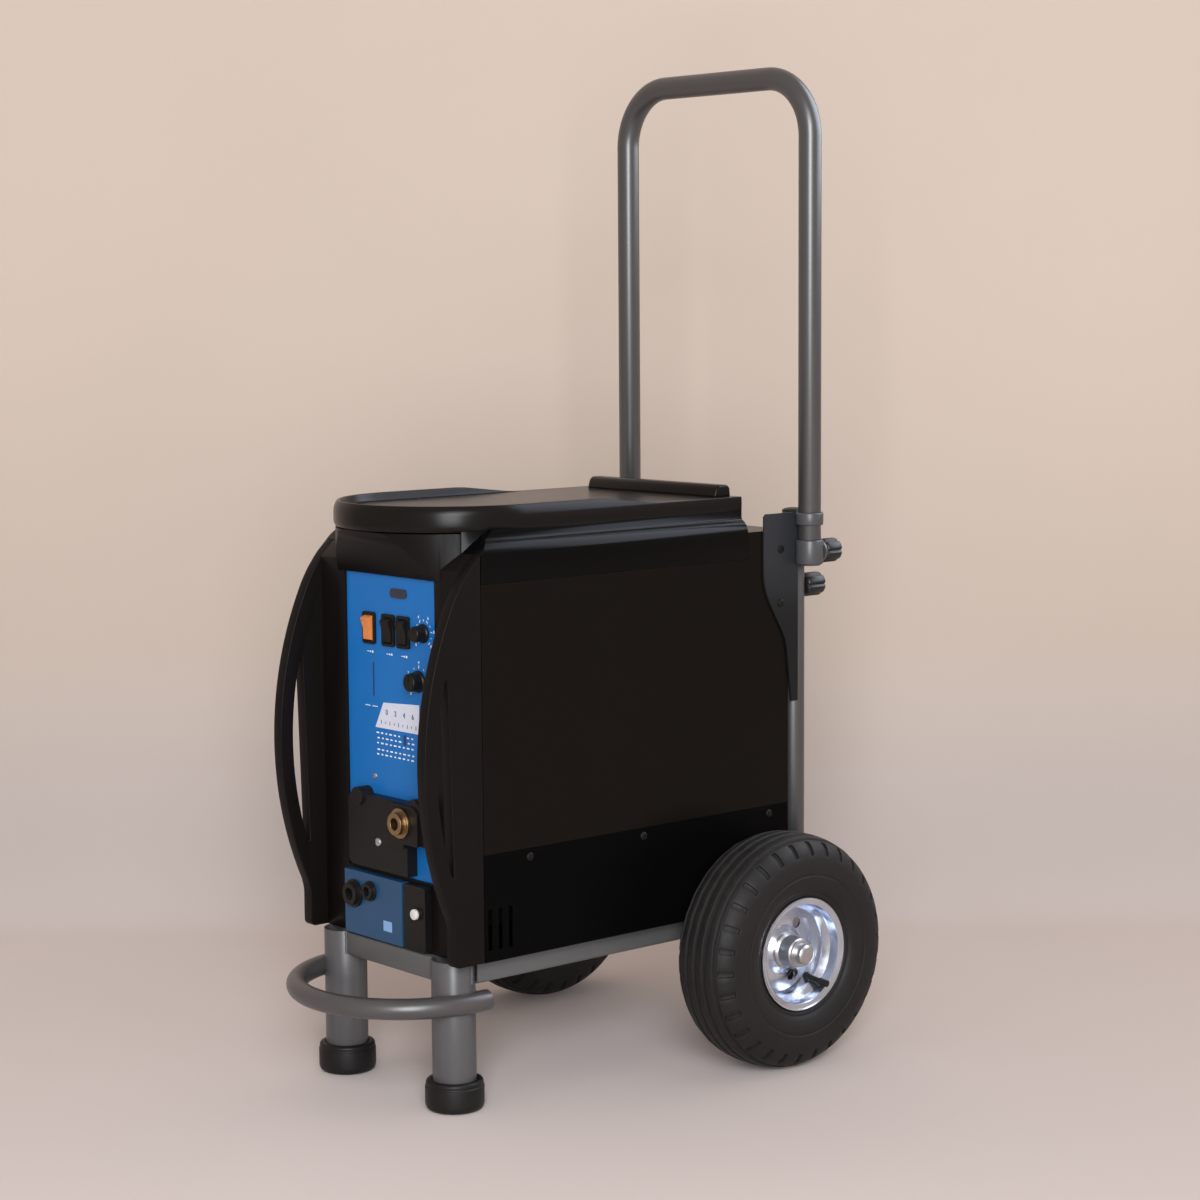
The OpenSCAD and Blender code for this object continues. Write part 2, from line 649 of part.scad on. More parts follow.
// Moulded top with a tray, a lip that fades towards the rear, and a ridge across the back.
module top_cover() {
    skirt_x = case_x - step_t + seat_gap;
    skirt_z = roof_z - band_h + seat_gap;
    edge = slab_x - 3;
    color([0.1, 0.1, 0.11]) place() {
        difference() {
            union() {
                translate([0, 0, slab_z]) linear_extrude(top_z - slab_z) slab_outline(0);
                difference() {
                    along(seam_y, cover_end) polygon(both(concat([[case_x, roof_z - 1]],
                        arc([slab_x - 6, roof_z - 1], case_x - slab_x + 6, 6, 60, 8), [[slab_x, slab_z + 1]])));
                    shoulder_cut();
                }
            }
            translate([0, 0, roof_z - 2]) linear_extrude(top_z - roof_z - 1) intersection() {
                slab_outline(3);
                translate([-case_x, seam_y + 26]) square([2 * case_x, case_l]);
            }
            translate([0, 0, slab_z - 1]) linear_extrude(top_z - slab_z - 2) slab_outline(3);
            block([-case_x, lip_y, roof_z - 2], [case_x, cover_end + 1, roof_z]);
        }
        for (s = [0, 1]) mirror([s, 0, 0])
            block([skirt_x, seam_y, skirt_z], [case_x, cover_end, roof_z + 0.5]);
        intersection() {
            translate([0, 0, top_z - 0.5]) linear_extrude(lip_h + 0.5) difference() {
                slab_outline(0);
                slab_outline(lip_t);
            }
            across(-case_x, case_x) polygon([[lip_y - 1, top_z - 0.5], [lip_y - 1, top_z + lip_h],
                [seam_y + 158, top_z + lip_h], [seam_y + 253, top_z], [seam_y + 253, top_z - 0.5]]);
        }
        across(17 - slab_x, slab_x - 17) polygon([[cover_end - 25, top_z - 0.5], [cover_end - 22, top_z + 9],
            [cover_end - 16, top_z + 12.6], [cover_end - 6, top_z + 12.6], [cover_end - 1, top_z + 9],
            [cover_end, top_z - 0.5]]);
    }
}

// ---------------------------------------------------------------- front panels

dial_at = [56, roof_z - 85];
gauge_at = [47, roof_z - 136];
rocker_z = roof_z - 87;
rocker_xs = [-38, -4, 22];
lens_at = [14, roof_z - 47];
torch_at = [36, deck_z + 136];
shaft_d = 6;
axis_y = panel_y + 1.5;                  // pivot axis of the rockers
rocker_r = rocker_h / 2 - 3.4;

// Blue sheet that carries the controls.
module control_panel() {
    y1 = panel_y + panel_t;
    color([0.15, 0.4, 0.68]) place() difference() {
        union() {
            block([-panel_x - 6, panel_y, deck_z + 70], [panel_x + 6, y1, roof_z - band_h + 3]);
            for (c = [dial_at, gauge_at]) rod_y(c, 14, y1 - 0.5, y1 + 7);
        }
        for (x = rocker_xs) block([x - rocker_w / 2 + 1.5, panel_y - 1, rocker_z - rocker_h / 2 + 1.5],
            [x + rocker_w / 2 - 1.5, y1 + 1, rocker_z + rocker_h / 2 - 1.5]);
        for (c = [dial_at, gauge_at]) rod_y(c, shaft_d + 2 * run_gap, panel_y - 1, y1 + 8);
        along(panel_y - 1, y1 + 1) polygon(round_rect(lens_at, 26.2, 7.2, 3.5));
        rod_y(torch_at, 24.1, panel_y - 1, y1 + 1);
    }
}

// Three switch housings: a flange on the panel and a body behind it.
module switch_frames() {
    in_w = rocker_w - 7;
    color([0.05, 0.05, 0.05]) place() for (x = rocker_xs) difference() {
        union() {
            along(panel_y - 2.5, panel_y) polygon(round_rect([x, rocker_z], rocker_w, rocker_h, 3));
            block([x - rocker_w / 2 + 1.6, panel_y - 1, rocker_z - rocker_h / 2 + 1.6],
                  [x + rocker_w / 2 - 1.6, panel_y + 18, rocker_z + rocker_h / 2 - 1.6]);
        }
        block([x - in_w / 2, panel_y - 4, rocker_z - rocker_r - part_gap],
              [x + in_w / 2, axis_y, rocker_z + rocker_r + part_gap]);
        rod_x([axis_y, rocker_z], 2 * (rocker_r + part_gap), x - in_w / 2, x + in_w / 2);
        rod_x([axis_y, rocker_z], 3 + 2 * run_gap, x - rocker_w / 2 + 2, x + rocker_w / 2 - 2);
    }
}

// A rocker with a hollowed face, on two small pivots, tipped to its off position.
module rocker(x, c) {
    w = rocker_w - 7 - 2 * part_gap;
    rise = rocker_r * tan(rocker_tilt);
    color(c) place() translate([0, axis_y, rocker_z]) rotate([rocker_tilt, 0, 0]) {
        intersection() {
            rod_x([0, 0], 2 * rocker_r, x - w / 2, x + w / 2);
            across(x - w / 2, x + w / 2) polygon([[-6, 0], [-6 - rise, -rocker_r],
                [rocker_r, -rocker_r], [rocker_r, rocker_r], [-6 - rise, rocker_r]]);
        }
        rod_x([0, 0], 3, x - rocker_w / 2 + 2.3, x + rocker_w / 2 - 2.3);
    }
}

// Rotary knob with a skirt, a pointer nib and a shaft held by a clip behind the panel.
module dial(c, d) {
    r = d / 2;
    color([0.05, 0.05, 0.05]) place() {
        translate([c[0], panel_y - part_gap, c[1]]) rotate([90, 0, 0]) rotate_extrude($fn = 48)
            polygon([[0, 0], [r, 0], [r, 2], [r - 1.2, 3.5], [r - 2, 13], [r - 3, 14], [0, 14]]);
        block([c[0] - 0.7, panel_y - 15, c[1] + 1], [c[0] + 0.7, panel_y - 14, c[1] + r - 3.5]);
        rod_y(c, shaft_d, panel_y - 1, panel_y + panel_t + 10);
        rod_y(c, shaft_d + 4, panel_y + panel_t + 7 + part_gap, panel_y + panel_t + 8.5 + part_gap);
    }
}

// Dark window over the panel's indicator lamps.
module display_lens() {
    color([0.05, 0.06, 0.1]) place() {
        along(panel_y - 1.5, panel_y) polygon(round_rect(lens_at, 29, 10, 4.9));
        along(panel_y - 0.5, panel_y + panel_t) polygon(round_rect(lens_at, 26, 7, 3.4));
    }
}

// Black block round the torch connector.
module torch_block() {
    c = [4.5, deck_z + 117];
    color([0.05, 0.05, 0.05]) place() difference() {
        union() {
            along(box_y, panel_y) polygon(round_rect(c, 139, 78, 8));
            along(box_y - 5, box_y + 1) polygon(round_rect([torch_at[0], torch_at[1] - 4], 56, 46, 10));
            for (s = [-1, 1]) rod_y([c[0] + s * 50, c[1] + 36], 20, box_y - 3, panel_y);
        }
        // Corner left open, where the blue panel shows.
        block([c[0] + 35, box_y - 6, c[1] - 42], [c[0] + 80, panel_y + 1, c[1] - 3]);
        rod_y(torch_at, 24.1, box_y - 6, panel_y + 1);
    }
}

// Brass connector for the torch lead.
module torch_socket() {
    y1 = panel_y + 12;
    color("goldenrod") place() difference() {
        union() {
            rod_y(torch_at, 24, box_y - 14, y1);
            rod_y(torch_at, 32, box_y - 8, box_y - 5);
        }
        rod_y(torch_at, 13, box_y - 15, box_y + 10);
    }
}

work_at = [-56, deck_z + 46];
remote_at = [-27, deck_z + 53];

// Blue cover plate of the sockets, a shallow box on the bezel's wall.
module lower_panel() {
    color([0.15, 0.4, 0.68]) place() difference() {
        block([-74, box_y, deck_z + 2], [28, wall_y, deck_z + 71]);
        block([-72, box_y + 2, deck_z + 4], [26, wall_y + 1, deck_z + 69]);
        rod_y(work_at, 24.1, box_y - 1, wall_y);
        rod_y(remote_at, 18.1, box_y - 1, wall_y);
    }
}

// Socket of the work lead.
module work_socket() {
    color([0.05, 0.05, 0.05]) place() difference() {
        union() {
            rod_y(work_at, 24, box_y - 8, wall_y + 18);
            rod_y(work_at, 30, box_y - 3, box_y);
        }
        rod_y(work_at, 13, box_y - 9, box_y + 16);
    }
}

// Small socket for a remote lead.
module remote_socket() {
    color([0.05, 0.05, 0.05]) place() difference() {
        union() {
            rod_y(remote_at, 18, box_y - 6, wall_y + 12);
            rod_y(remote_at, 22, box_y - 2, box_y);
        }
        rod_y(remote_at, 10, box_y - 7, box_y + 8);
    }
    color("goldenrod") place() rod_y(remote_at, 3, box_y - 2, box_y + 8.5);
}

// Circuit breaker beside the lower panel, with a reset button.
module breaker_box() {
    c = [49.5, deck_z + 36.5];
    color([0.05, 0.05, 0.05]) place() {
        along(box_y, wall_y) polygon(round_rect(c, 37, 69, 3));
        rod_y(c + [7, 6], 14, box_y - 3, box_y + 1);
        rod_y(c + [7, 6], 9, box_y - 6, box_y);
    }
}

// ---------------------------------------------------------------- rear and inside

// Square fan housing with four struts and a pin for the rotor.
module fan_frame() {
    y1 = case_rear - sheet;
    y0 = y1 - fan_depth;
    color([0.06, 0.06, 0.06]) place() {
        difference() {
            block([-fan_side / 2, y0, fan_z - fan_side / 2], [fan_side / 2, y1, fan_z + fan_side / 2]);
            rod_y([0, fan_z], fan_side - 6, y0 - 1, y1 + 1);
            for (x = [-1, 1], z = [-1, 1])
                rod_y([x * (fan_side / 2 - 7.5), fan_z + z * (fan_side / 2 - 7.5)], 4.3, y0 - 1, y1 + 1);
        }
        for (a = [45, 135]) translate([0, y0 + 2, fan_z]) rotate([0, a, 0])
            cube([fan_side - 5, 4, 6], center = true);
        rod_y([0, fan_z], 44, y0, y0 + 4);
        rod_y([0, fan_z], 6, y0 + 3, y1 - 8);
    }
}

// Fan rotor: a hub with pitched blades on a bore.
module fan_rotor() {
    y1 = case_rear - sheet - 6;
    y0 = y1 - fan_depth + 12;
    r = fan_side / 2 - 5;
    color([0.1, 0.1, 0.1]) place() difference() {
        union() {
            rod_y([0, fan_z], 42, y0, y1);
            intersection() {
                for (i = [0:blades - 1]) translate([0, (y0 + y1) / 2, fan_z]) rotate([0, i * 360 / blades, 0])
                    rotate([0, 0, 38]) translate([0, 0, r / 2]) cube([34, 2.2, r], center = true);
                rod_y([0, fan_z], 2 * r, y0 + 1, y1 - 1);
            }
        }
        rod_y([0, fan_z], 6 + 2 * run_gap, y0 - 1, y1 - 2);
    }
}

// Wire finger guard over the fan's window.
module fan_guard() {
    y = case_rear + 3;
    wire = 2.4;
    color("silver") place() {
        for (r = [14, 28, 42, 56]) translate([0, y, fan_z]) rotate([90, 0, 0])
            rotate_extrude($fn = 72) translate([r, 0]) circle(d = wire, $fn = 16);
        for (a = [0, 90]) translate([0, y + wire - 0.4, fan_z]) rotate([0, a + 45, 0])
            cube([2 * (fan_side * 0.62), wire, wire], center = true);
        for (x = [-1, 1], z = [-1, 1]) {
            c = [x * (fan_side / 2 - 7.5), fan_z + z * (fan_side / 2 - 7.5)];
            rod_y(c, 12, case_rear, y + wire / 2);
            rod_y(c, 4.2, case_rear - sheet - 12, y);
        }
    }
}

// Brass air inlet with a tapped bore.
module air_inlet() {
    c = [-62, inlet_z];
    color("goldenrod") place() difference() {
        union() {
            rod_y(c, 20, case_rear - 12, case_rear + 2);
            translate([c[0], case_rear + 10, c[1]]) rotate([90, 0, 0]) cylinder(d = 26, h = 10, $fn = 6);
            rod_y(c, 18, case_rear + 9, case_rear + 16);
        }
        rod_y(c, 11.44, case_rear + 4, case_rear + 17);
        rod_y(c, 8, case_rear - 13, case_rear + 5);
    }
}

// Gland for the supply cable.
module cable_gland() {
    c = [62, inlet_z];
    color([0.06, 0.06, 0.06]) place() difference() {
        union() {
            rod_y(c, 20, case_rear - 12, case_rear + 2);
            translate([c[0], case_rear + 6, c[1]]) rotate([90, 0, 0]) cylinder(d = 28, h = 6, $fn = 6);
            rod_y(c, 22, case_rear + 5, case_rear + 20);
            rod_y(c, 27, case_rear - sheet - 6, case_rear - sheet);
        }
        rod_y(c, 12, case_rear - 13, case_rear + 21);
    }
}

floor_z = deck_z + sheet;
wall_x = 8;                              // left face of the dividing wall

// Upright wall down the middle of the case, on a folded foot.
module divider() {
    color("silver") place() {
        block([wall_x, seam_y + 25, floor_z], [wall_x + sheet, case_rear - fan_depth - 12, roof_z - 30]);
        block([wall_x - 18, seam_y + 25, floor_z], [wall_x + 0.5, case_rear - fan_depth - 12, floor_z + sheet]);
    }
}

// Main transformer: a laminated core with a wound coil through its windows.
module transformer() {
    x0 = wall_x - 108;
    y0 = seam_y + 200;
    color([0.35, 0.2, 0.12]) place() {
        difference() {
            block([x0, y0, floor_z], [x0 + 86, y0 + 130, floor_z + 110]);
            for (i = [0, 1]) block([x0 - 1, y0 + 22 + i * 54, floor_z + 24],
                [x0 + 87, y0 + 54 + i * 54, floor_z + 86]);
        }
        difference() {
            block([x0 - 9, y0 + 24, floor_z + 25], [x0 + 95, y0 + 106, floor_z + 85]);
            block([x0 - 0.5, y0 + 20, floor_z + 20], [x0 + 86.5, y0 + 22 + 2, floor_z + 90]);
            block([x0, y0 + 54, floor_z + 20], [x0 + 86, y0 + 76, floor_z + 90]);
        }
    }
}

// Finned heat sink on the dividing wall.
module heat_sink() {
    x0 = wall_x + sheet;
    z0 = deck_z + 190;
    color("silver") place() {
        block([x0, seam_y + 70, z0], [x0 + 6, seam_y + 290, z0 + 137]);
        for (i = [0:15]) block([x0 + 5, seam_y + 70, z0 + i * 9], [x0 + 52, seam_y + 290, z0 + i * 9 + 2]);
    }
}

// Circuit board on four pillars, with its larger parts.
module circuit_board() {
    x1 = wall_x - 8;
    y0 = seam_y + 60;
    z0 = deck_z + 190;
    color([0.1, 0.35, 0.2]) place() {
        block([x1 - 1.6, y0, z0], [x1, y0 + 220, z0 + 150]);
        for (y = [12, 208], z = [12, 138]) rod_x([y0 + y, z0 + z], 7, x1 - 0.5, wall_x);
        for (i = [0:2]) rod_x([y0 + 40 + i * 36, z0 + 110], 30, x1 - 46, x1 - 1);
        block([x1 - 30, y0 + 150, z0 + 85], [x1 - 1, y0 + 190, z0 + 130]);
        block([x1 - 22, y0 + 25, z0 + 20], [x1 - 1, y0 + 130, z0 + 60]);
        block([x1 - 16, y0 + 145, z0 + 20], [x1 - 1, y0 + 200, z0 + 50]);
    }
}

// ---------------------------------------------------------------- nodes

module rail_left() { color("dimgray") side_rail(-1); }
module rail_right() { color("dimgray") side_rail(1); }
module leg_left() { color("slategray") leg(-1); }
module leg_right() { color("slategray") leg(1); }
module foot_left() { color([0.06, 0.06, 0.06]) foot(-1); }
module foot_right() { color([0.06, 0.06, 0.06]) foot(1); }
module post_left() { color("dimgray") post(-1); }
module post_right() { color("dimgray") post(1); }
module gusset_left() { gusset(-1); }
module gusset_right() { gusset(1); }
module guide_left() { color("dimgray") guide(-1); }
module guide_right() { color("dimgray") guide(1); }
module clamp_knob_left() { clamp_knob(-1); }
module clamp_knob_right() { clamp_knob(1); }
module hold_knob_left() { hold_knob(-1); }
module hold_knob_right() { hold_knob(1); }
module tyre_left() { tyre(-1); }
module tyre_right() { tyre(1); }
module rim_left() { rim(-1); }
module rim_right() { rim(1); }
module hub_left() { hub(-1); }
module hub_right() { hub(1); }
module valve_left() { valve(-1); }
module valve_right() { valve(1); }
module power_rocker() { rocker(rocker_xs[0], [0.85, 0.42, 0.1]); }
module gas_rocker() { rocker(rocker_xs[1], [0.08, 0.08, 0.08]); }
module mode_rocker() { rocker(rocker_xs[2], [0.08, 0.08, 0.08]); }
module current_dial() { dial(dial_at, dial_d); }
module pressure_dial() { dial(gauge_at, gauge_d); }

rail_left();
rail_right();
rail_front();
rail_rear();
leg_left();
leg_right();
foot_left();
foot_right();
bumper_bar();
axle_rod();
axle_fittings();
post_left();
post_right();
post_caps();
gusset_left();
gusset_right();
guide_left();
guide_right();
handle_tube();
clamp_knob_left();
clamp_knob_right();
hold_knob_left();
hold_knob_right();
tyre_left();
tyre_right();
rim_left();
rim_right();
hub_left();
hub_right();
valve_left();
valve_right();
base_tray();
case_wrap();
case_screws();
front_bezel();
rear_panel();
top_cover();
control_panel();
lower_panel();
torch_block();
torch_socket();
work_socket();
remote_socket();
breaker_box();
display_lens();
switch_frames();
power_rocker();
gas_rocker();
mode_rocker();
current_dial();
pressure_dial();
fan_frame();
fan_rotor();
fan_guard();
air_inlet();
cable_gland();
divider();
transformer();
heat_sink();
circuit_board();
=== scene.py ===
import bpy
from math import atan2, cos, degrees, hypot, radians, sin, sqrt
from mathutils import Matrix, Vector


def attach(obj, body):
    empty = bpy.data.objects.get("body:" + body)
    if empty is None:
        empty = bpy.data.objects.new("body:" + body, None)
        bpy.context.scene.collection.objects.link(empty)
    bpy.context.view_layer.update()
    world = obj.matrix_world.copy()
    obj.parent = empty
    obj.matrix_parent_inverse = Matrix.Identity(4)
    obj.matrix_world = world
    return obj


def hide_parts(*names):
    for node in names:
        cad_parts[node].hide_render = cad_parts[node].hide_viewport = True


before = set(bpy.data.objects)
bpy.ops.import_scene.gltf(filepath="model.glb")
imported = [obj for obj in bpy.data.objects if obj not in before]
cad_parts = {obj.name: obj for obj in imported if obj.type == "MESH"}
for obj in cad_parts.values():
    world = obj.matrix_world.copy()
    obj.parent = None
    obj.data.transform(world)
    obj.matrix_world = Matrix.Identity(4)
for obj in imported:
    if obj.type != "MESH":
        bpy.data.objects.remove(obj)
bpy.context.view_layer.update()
print("frame loaded")

# Lengths are in millimetres round the axle: x to the right facing the panel,
# y towards the handle, z up from the floor. toRow puts them in the row, in metres.
axleShift = 170.85


def toRow(x, y, z):
    return Vector((x, y + axleShift, z)) / 1000


def onCircle(radius, angle, a=0, b=0):
    # The point of a circle round (a, b) at an angle.
    turn = radians(angle)
    return a + radius * cos(turn), b + radius * sin(turn)


cameraSet = {"azimuth": 49.41, "tilt": 6.49, "roll": -0.42, "lens": 80.4, "film": 36, "farthest": 60,
    "place": (2254.24, -2010.65, 838.36)}


def makeCamera():
    az, el, roll = (radians(cameraSet[k]) for k in ("azimuth", "tilt", "roll"))
    look = Vector((-sin(az) * cos(el), cos(az) * cos(el), -sin(el)))
    right = Vector((cos(az), sin(az), 0))
    up = right.cross(look)
    side = right * cos(roll) + up * sin(roll)
    top = up * cos(roll) - right * sin(roll)
    bpy.ops.object.camera_add()
    camera = bpy.context.object
    camera.name = "shopCamera"
    camera.data.lens = cameraSet["lens"]
    camera.data.sensor_width = cameraSet["film"]
    camera.data.clip_end = cameraSet["farthest"]
    turn = Matrix((side, top, -look)).transposed().to_4x4()
    camera.matrix_world = Matrix.Translation(toRow(*cameraSet["place"])) @ turn
    bpy.context.scene.camera = camera


makeCamera()
bpy.context.scene.view_settings.view_transform = "Standard"


def clearSelection():
    if bpy.context.object and bpy.context.object.mode != "OBJECT":
        bpy.ops.object.mode_set(mode="OBJECT")
    bpy.ops.object.select_all(action="DESELECT")


def pick(piece):
    clearSelection()
    piece.select_set(True)
    bpy.context.view_layer.objects.active = piece


def settle(piece):
    pick(piece)
    bpy.ops.object.transform_apply(location=True, rotation=True, scale=True)
    return piece


def named(name):
    # Names the piece that the last operator made.
    piece = bpy.context.object
    piece.name = name
    return piece


def openMesh(piece):
    # Edit mode, with the whole mesh selected.
    pick(piece)
    bpy.ops.object.mode_set(mode="EDIT")
    bpy.ops.mesh.select_all(action="SELECT")


def closeMesh(turnOut=True):
    # Back to object mode, with every face turned outwards unless told not to.
    if turnOut:
        bpy.ops.mesh.select_all(action="SELECT")
        bpy.ops.mesh.normals_make_consistent(inside=False)
    bpy.ops.object.mode_set(mode="OBJECT")


def extrudeBy(x, y, z):
    bpy.ops.mesh.extrude_region_move(TRANSFORM_OT_translate={"value": (x / 1000, y / 1000, z / 1000)})


def addBox(name, low, high):
    clearSelection()
    a, b = toRow(*low), toRow(*high)
    bpy.ops.mesh.primitive_cube_add(size=1, location=(a + b) / 2, scale=b - a)
    return settle(named(name))


def addRod(name, start, end, radius, sides=64, tip=None):
    clearSelection()
    a, b = toRow(*start), toRow(*end)
    bpy.ops.mesh.primitive_cone_add(vertices=sides, radius1=radius / 1000, radius2=(tip or radius) / 1000,
        depth=(b - a).length, location=(a + b) / 2)
    rod = named(name)
    rod.rotation_euler = (b - a).to_track_quat("Z", "Y").to_euler()
    return settle(rod)


def addTurned(name, profile, place, axis, sides=72, closed=False):
    # Revolves points of (distance along the axis, radius) by extruding a ring.
    clearSelection()
    h0, r0 = profile[0]
    bpy.ops.mesh.primitive_circle_add(vertices=sides, radius=r0, location=(0, 0, h0))
    piece = settle(named(name))
    openMesh(piece)
    if not closed:
        bpy.ops.mesh.edge_face_add()
    for h1, r1 in profile[1:] + (profile[:1] if closed else []):
        bpy.ops.mesh.extrude_region_move(TRANSFORM_OT_translate={"value": (0, 0, h1 - h0)})
        bpy.ops.transform.resize(value=(r1 / r0, r1 / r0, 1), center_override=(0, 0, 0))
        h0, r0 = h1, r1
    bpy.ops.mesh.select_all(action="SELECT")
    bpy.ops.mesh.remove_doubles(threshold=0.0001)
    closeMesh()
    piece.scale = (0.001, 0.001, 0.001)
    piece.rotation_euler = Vector(axis).to_track_quat("Z", "Y").to_euler()
    piece.location = toRow(*place)
    return settle(piece)


def addPrism(name, outline, axis, low, high):
    # Extrudes an outline along one axis; its pairs are the other two axes in order.
    clearSelection()
    bpy.ops.mesh.primitive_circle_add(vertices=len(outline), radius=0.01, fill_type="NGON")
    piece = named(name)
    at = "xyz".index(axis)
    for vertex, pair in zip(piece.data.vertices, outline):
        vertex.co = toRow(*pair[:at], low, *pair[at:])
    openMesh(piece)
    extrudeBy(*(high - low if axis == letter else 0 for letter in "xyz"))
    closeMesh()
    return piece


def addStep(piece, kind, **settings):
    pick(piece)
    step = piece.modifiers.new("step", kind)
    for key, value in settings.items():
        setattr(step, key, value)
    bpy.ops.object.modifier_apply(modifier=step.name)


def combine(piece, other, how):
    addStep(piece, "BOOLEAN", operation=how, solver="EXACT", object=other)
    bpy.data.objects.remove(other, do_unlink=True)
    return piece


def cut(piece, other):
    return combine(piece, other, "DIFFERENCE")


def soften(piece, width, segments=3, corner=32, smooth=35, even=False):
    # Rounds the edges sharper than corner, then shades the rest smooth; even keeps flat faces flat.
    pick(piece)
    if width:
        addStep(piece, "BEVEL", width=width / 1000, segments=segments, limit_method="ANGLE",
            angle_limit=radians(corner), miter_outer="MITER_ARC")
    bpy.ops.object.shade_smooth_by_angle(angle=radians(smooth))
    if even and width:
        addStep(piece, "WEIGHTED_NORMAL", keep_sharp=True)
    return piece


def joinUp(name, pieces):
    pick(pieces[0])
    for piece in pieces[1:]:
        piece.select_set(True)
    bpy.ops.object.join()
    return named(name)


def copyOf(piece, name):
    twin = piece.copy()
    twin.data = piece.data.copy()
    bpy.context.collection.objects.link(twin)
    twin.name = name
    return twin


def mirrored(piece, name):
    twin = copyOf(piece, name)
    twin.scale = (-1, 1, 1)
    openMesh(settle(twin))
    closeMesh()
    return twin


def fromCad(node, width):
    # A merged copy of a CAD node with its edges softened.
    piece = copyOf(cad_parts[node], node + "Skin")
    for key in list(piece.keys()):
        del piece[key]
    piece.parent = None
    openMesh(piece)
    bpy.ops.mesh.remove_doubles(threshold=0.00001)
    bpy.ops.mesh.dissolve_limited(angle_limit=radians(0.4))
    closeMesh(turnOut=False)
    return soften(piece, width, 2, even=True)


def dress(piece, body, slotName, material, *nodes):
    if material:
        piece.data.materials.clear()
        piece.data.materials.append(material)
    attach(piece, body)
    if nodes:
        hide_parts(*nodes)
    return piece


def dressPair(right, twinName, bodies, slotName, material, part):
    # Dresses a right piece and its mirrored twin.
    dress(mirrored(right, twinName), bodies[0], slotName, material, part + "_left")
    dress(right, bodies[1], slotName, material, part + "_right")


print("tools ready")


def fill(tree, node, values):
    # Sets a node's inputs; a value that is another node's socket is linked.
    for key, value in values.items():
        if isinstance(value, bpy.types.NodeSocket):
            tree.links.new(value, node.inputs[key])
        else:
            node.inputs[key].default_value = value


def addNode(tree, kind, values=None, **settings):
    node = tree.nodes.new("ShaderNode" + kind)
    for key, value in settings.items():
        setattr(node, key, value)
    fill(tree, node, values or {})
    return node


def calc(tree, operation, *values, clamp=False):
    values = dict(enumerate(values))
    return addNode(tree, "Math", values, operation=operation, use_clamp=clamp).outputs[0]


def spanned(tree, value, low, high, toLow=0.0, toHigh=1.0, how="LINEAR"):
    values = {"Value": value, "From Min": low, "From Max": high, "To Min": toLow, "To Max": toHigh}
    return addNode(tree, "MapRange", values, interpolation_type=how).outputs[0]


def scaled(tree, vector, amount):
    return addNode(tree, "VectorMath", {0: vector, "Scale": amount}, operation="SCALE").outputs[0]


def mixed(tree, share, first, second):
    values = {"Factor": share, "A": first, "B": second}
    return addNode(tree, "Mix", values, data_type="RGBA").outputs["Result"]


def newGroup(name, inputs, outputs):
    # Each socket is a label and its kind.
    group = bpy.data.node_groups.new(name, "ShaderNodeTree")
    for side, sockets in (("INPUT", inputs), ("OUTPUT", outputs)):
        for label, kind in sockets.items():
            group.interface.new_socket(name=label, in_out=side, socket_type="NodeSocket" + kind)
    return group, group.nodes.new("NodeGroupInput").outputs, group.nodes.new("NodeGroupOutput").inputs


def makeAgedColour():
    # Base colour broken by soft blotches, pale dust on what faces up, and a rougher film with it.
    numbers = dict.fromkeys(("Blotch Scale", "Blotch", "Dust", "Roughness", "Spread"), "Float")
    inputs = {"Vector": "Vector", "Colour": "Color", "Shade": "Color", **numbers}
    group, ins, outs = newGroup("agedColour", inputs, {"Colour": "Color", "Roughness": "Float"})
    blotch = addNode(group, "TexNoise", {
        "Vector": ins["Vector"], "Scale": ins["Blotch Scale"], "Detail": 5, "Roughness": 0.6}).outputs["Fac"]
    amount = calc(group, "MULTIPLY", spanned(group, blotch, 0.35, 0.7), ins["Blotch"])
    tint = mixed(group, amount, ins["Colour"], ins["Shade"])
    facing = addNode(group, "NewGeometry").outputs["Normal"]
    upward = spanned(group, addNode(group, "SeparateXYZ", {0: facing}).outputs["Z"], 0.2, 1.0)
    fine = addNode(group, "TexNoise", {
        "Vector": ins["Vector"], "Scale": 90, "Detail": 6, "Roughness": 0.7}).outputs["Fac"]
    fleck = spanned(group, fine, 0.4, 0.75)
    dust = calc(group, "MULTIPLY", calc(group, "MULTIPLY", upward, fleck), ins["Dust"])
    group.links.new(mixed(group, dust, tint, (0.42, 0.38, 0.34, 1)), outs["Colour"])
    sway = calc(group, "MULTIPLY_ADD", fleck, ins["Spread"], ins["Roughness"])
    group.links.new(calc(group, "ADD", sway, dust, clamp=True), outs["Roughness"])
    return group


def makeGrain():
    # Height of a fine grain: a soft noise crossed with small cells.
    inputs = {"Vector": "Vector", "Scale": "Float", "Cells": "Float"}
    group, ins, outs = newGroup("surfaceGrain", inputs, {"Height": "Float"})
    spread = {"Vector": ins["Vector"], "Scale": ins["Scale"]}
    noise = addNode(group, "TexNoise", {**spread, "Detail": 3}).outputs["Fac"]
    cells = addNode(group, "TexVoronoi", spread).outputs["Distance"]
    blend = addNode(group, "Mix", {"Factor": ins["Cells"], "A": noise, "B": cells}, data_type="FLOAT")
    group.links.new(blend.outputs["Result"], outs["Height"])
    return group


agedColour = makeAgedColour()
surfaceGrain = makeGrain()
plainLook = {"metallic": 0, "coat": 0, "coatRoughness": 0.1, "specular": 0.5, "stretch": (1, 1, 1),
    "blotch": 0.5, "blotchScale": 20, "dust": 0.1, "spread": 0.1, "grainScale": 600, "cells": 0.3,
    "grain": 0.2, "depth": 0.0003, "fade": None}


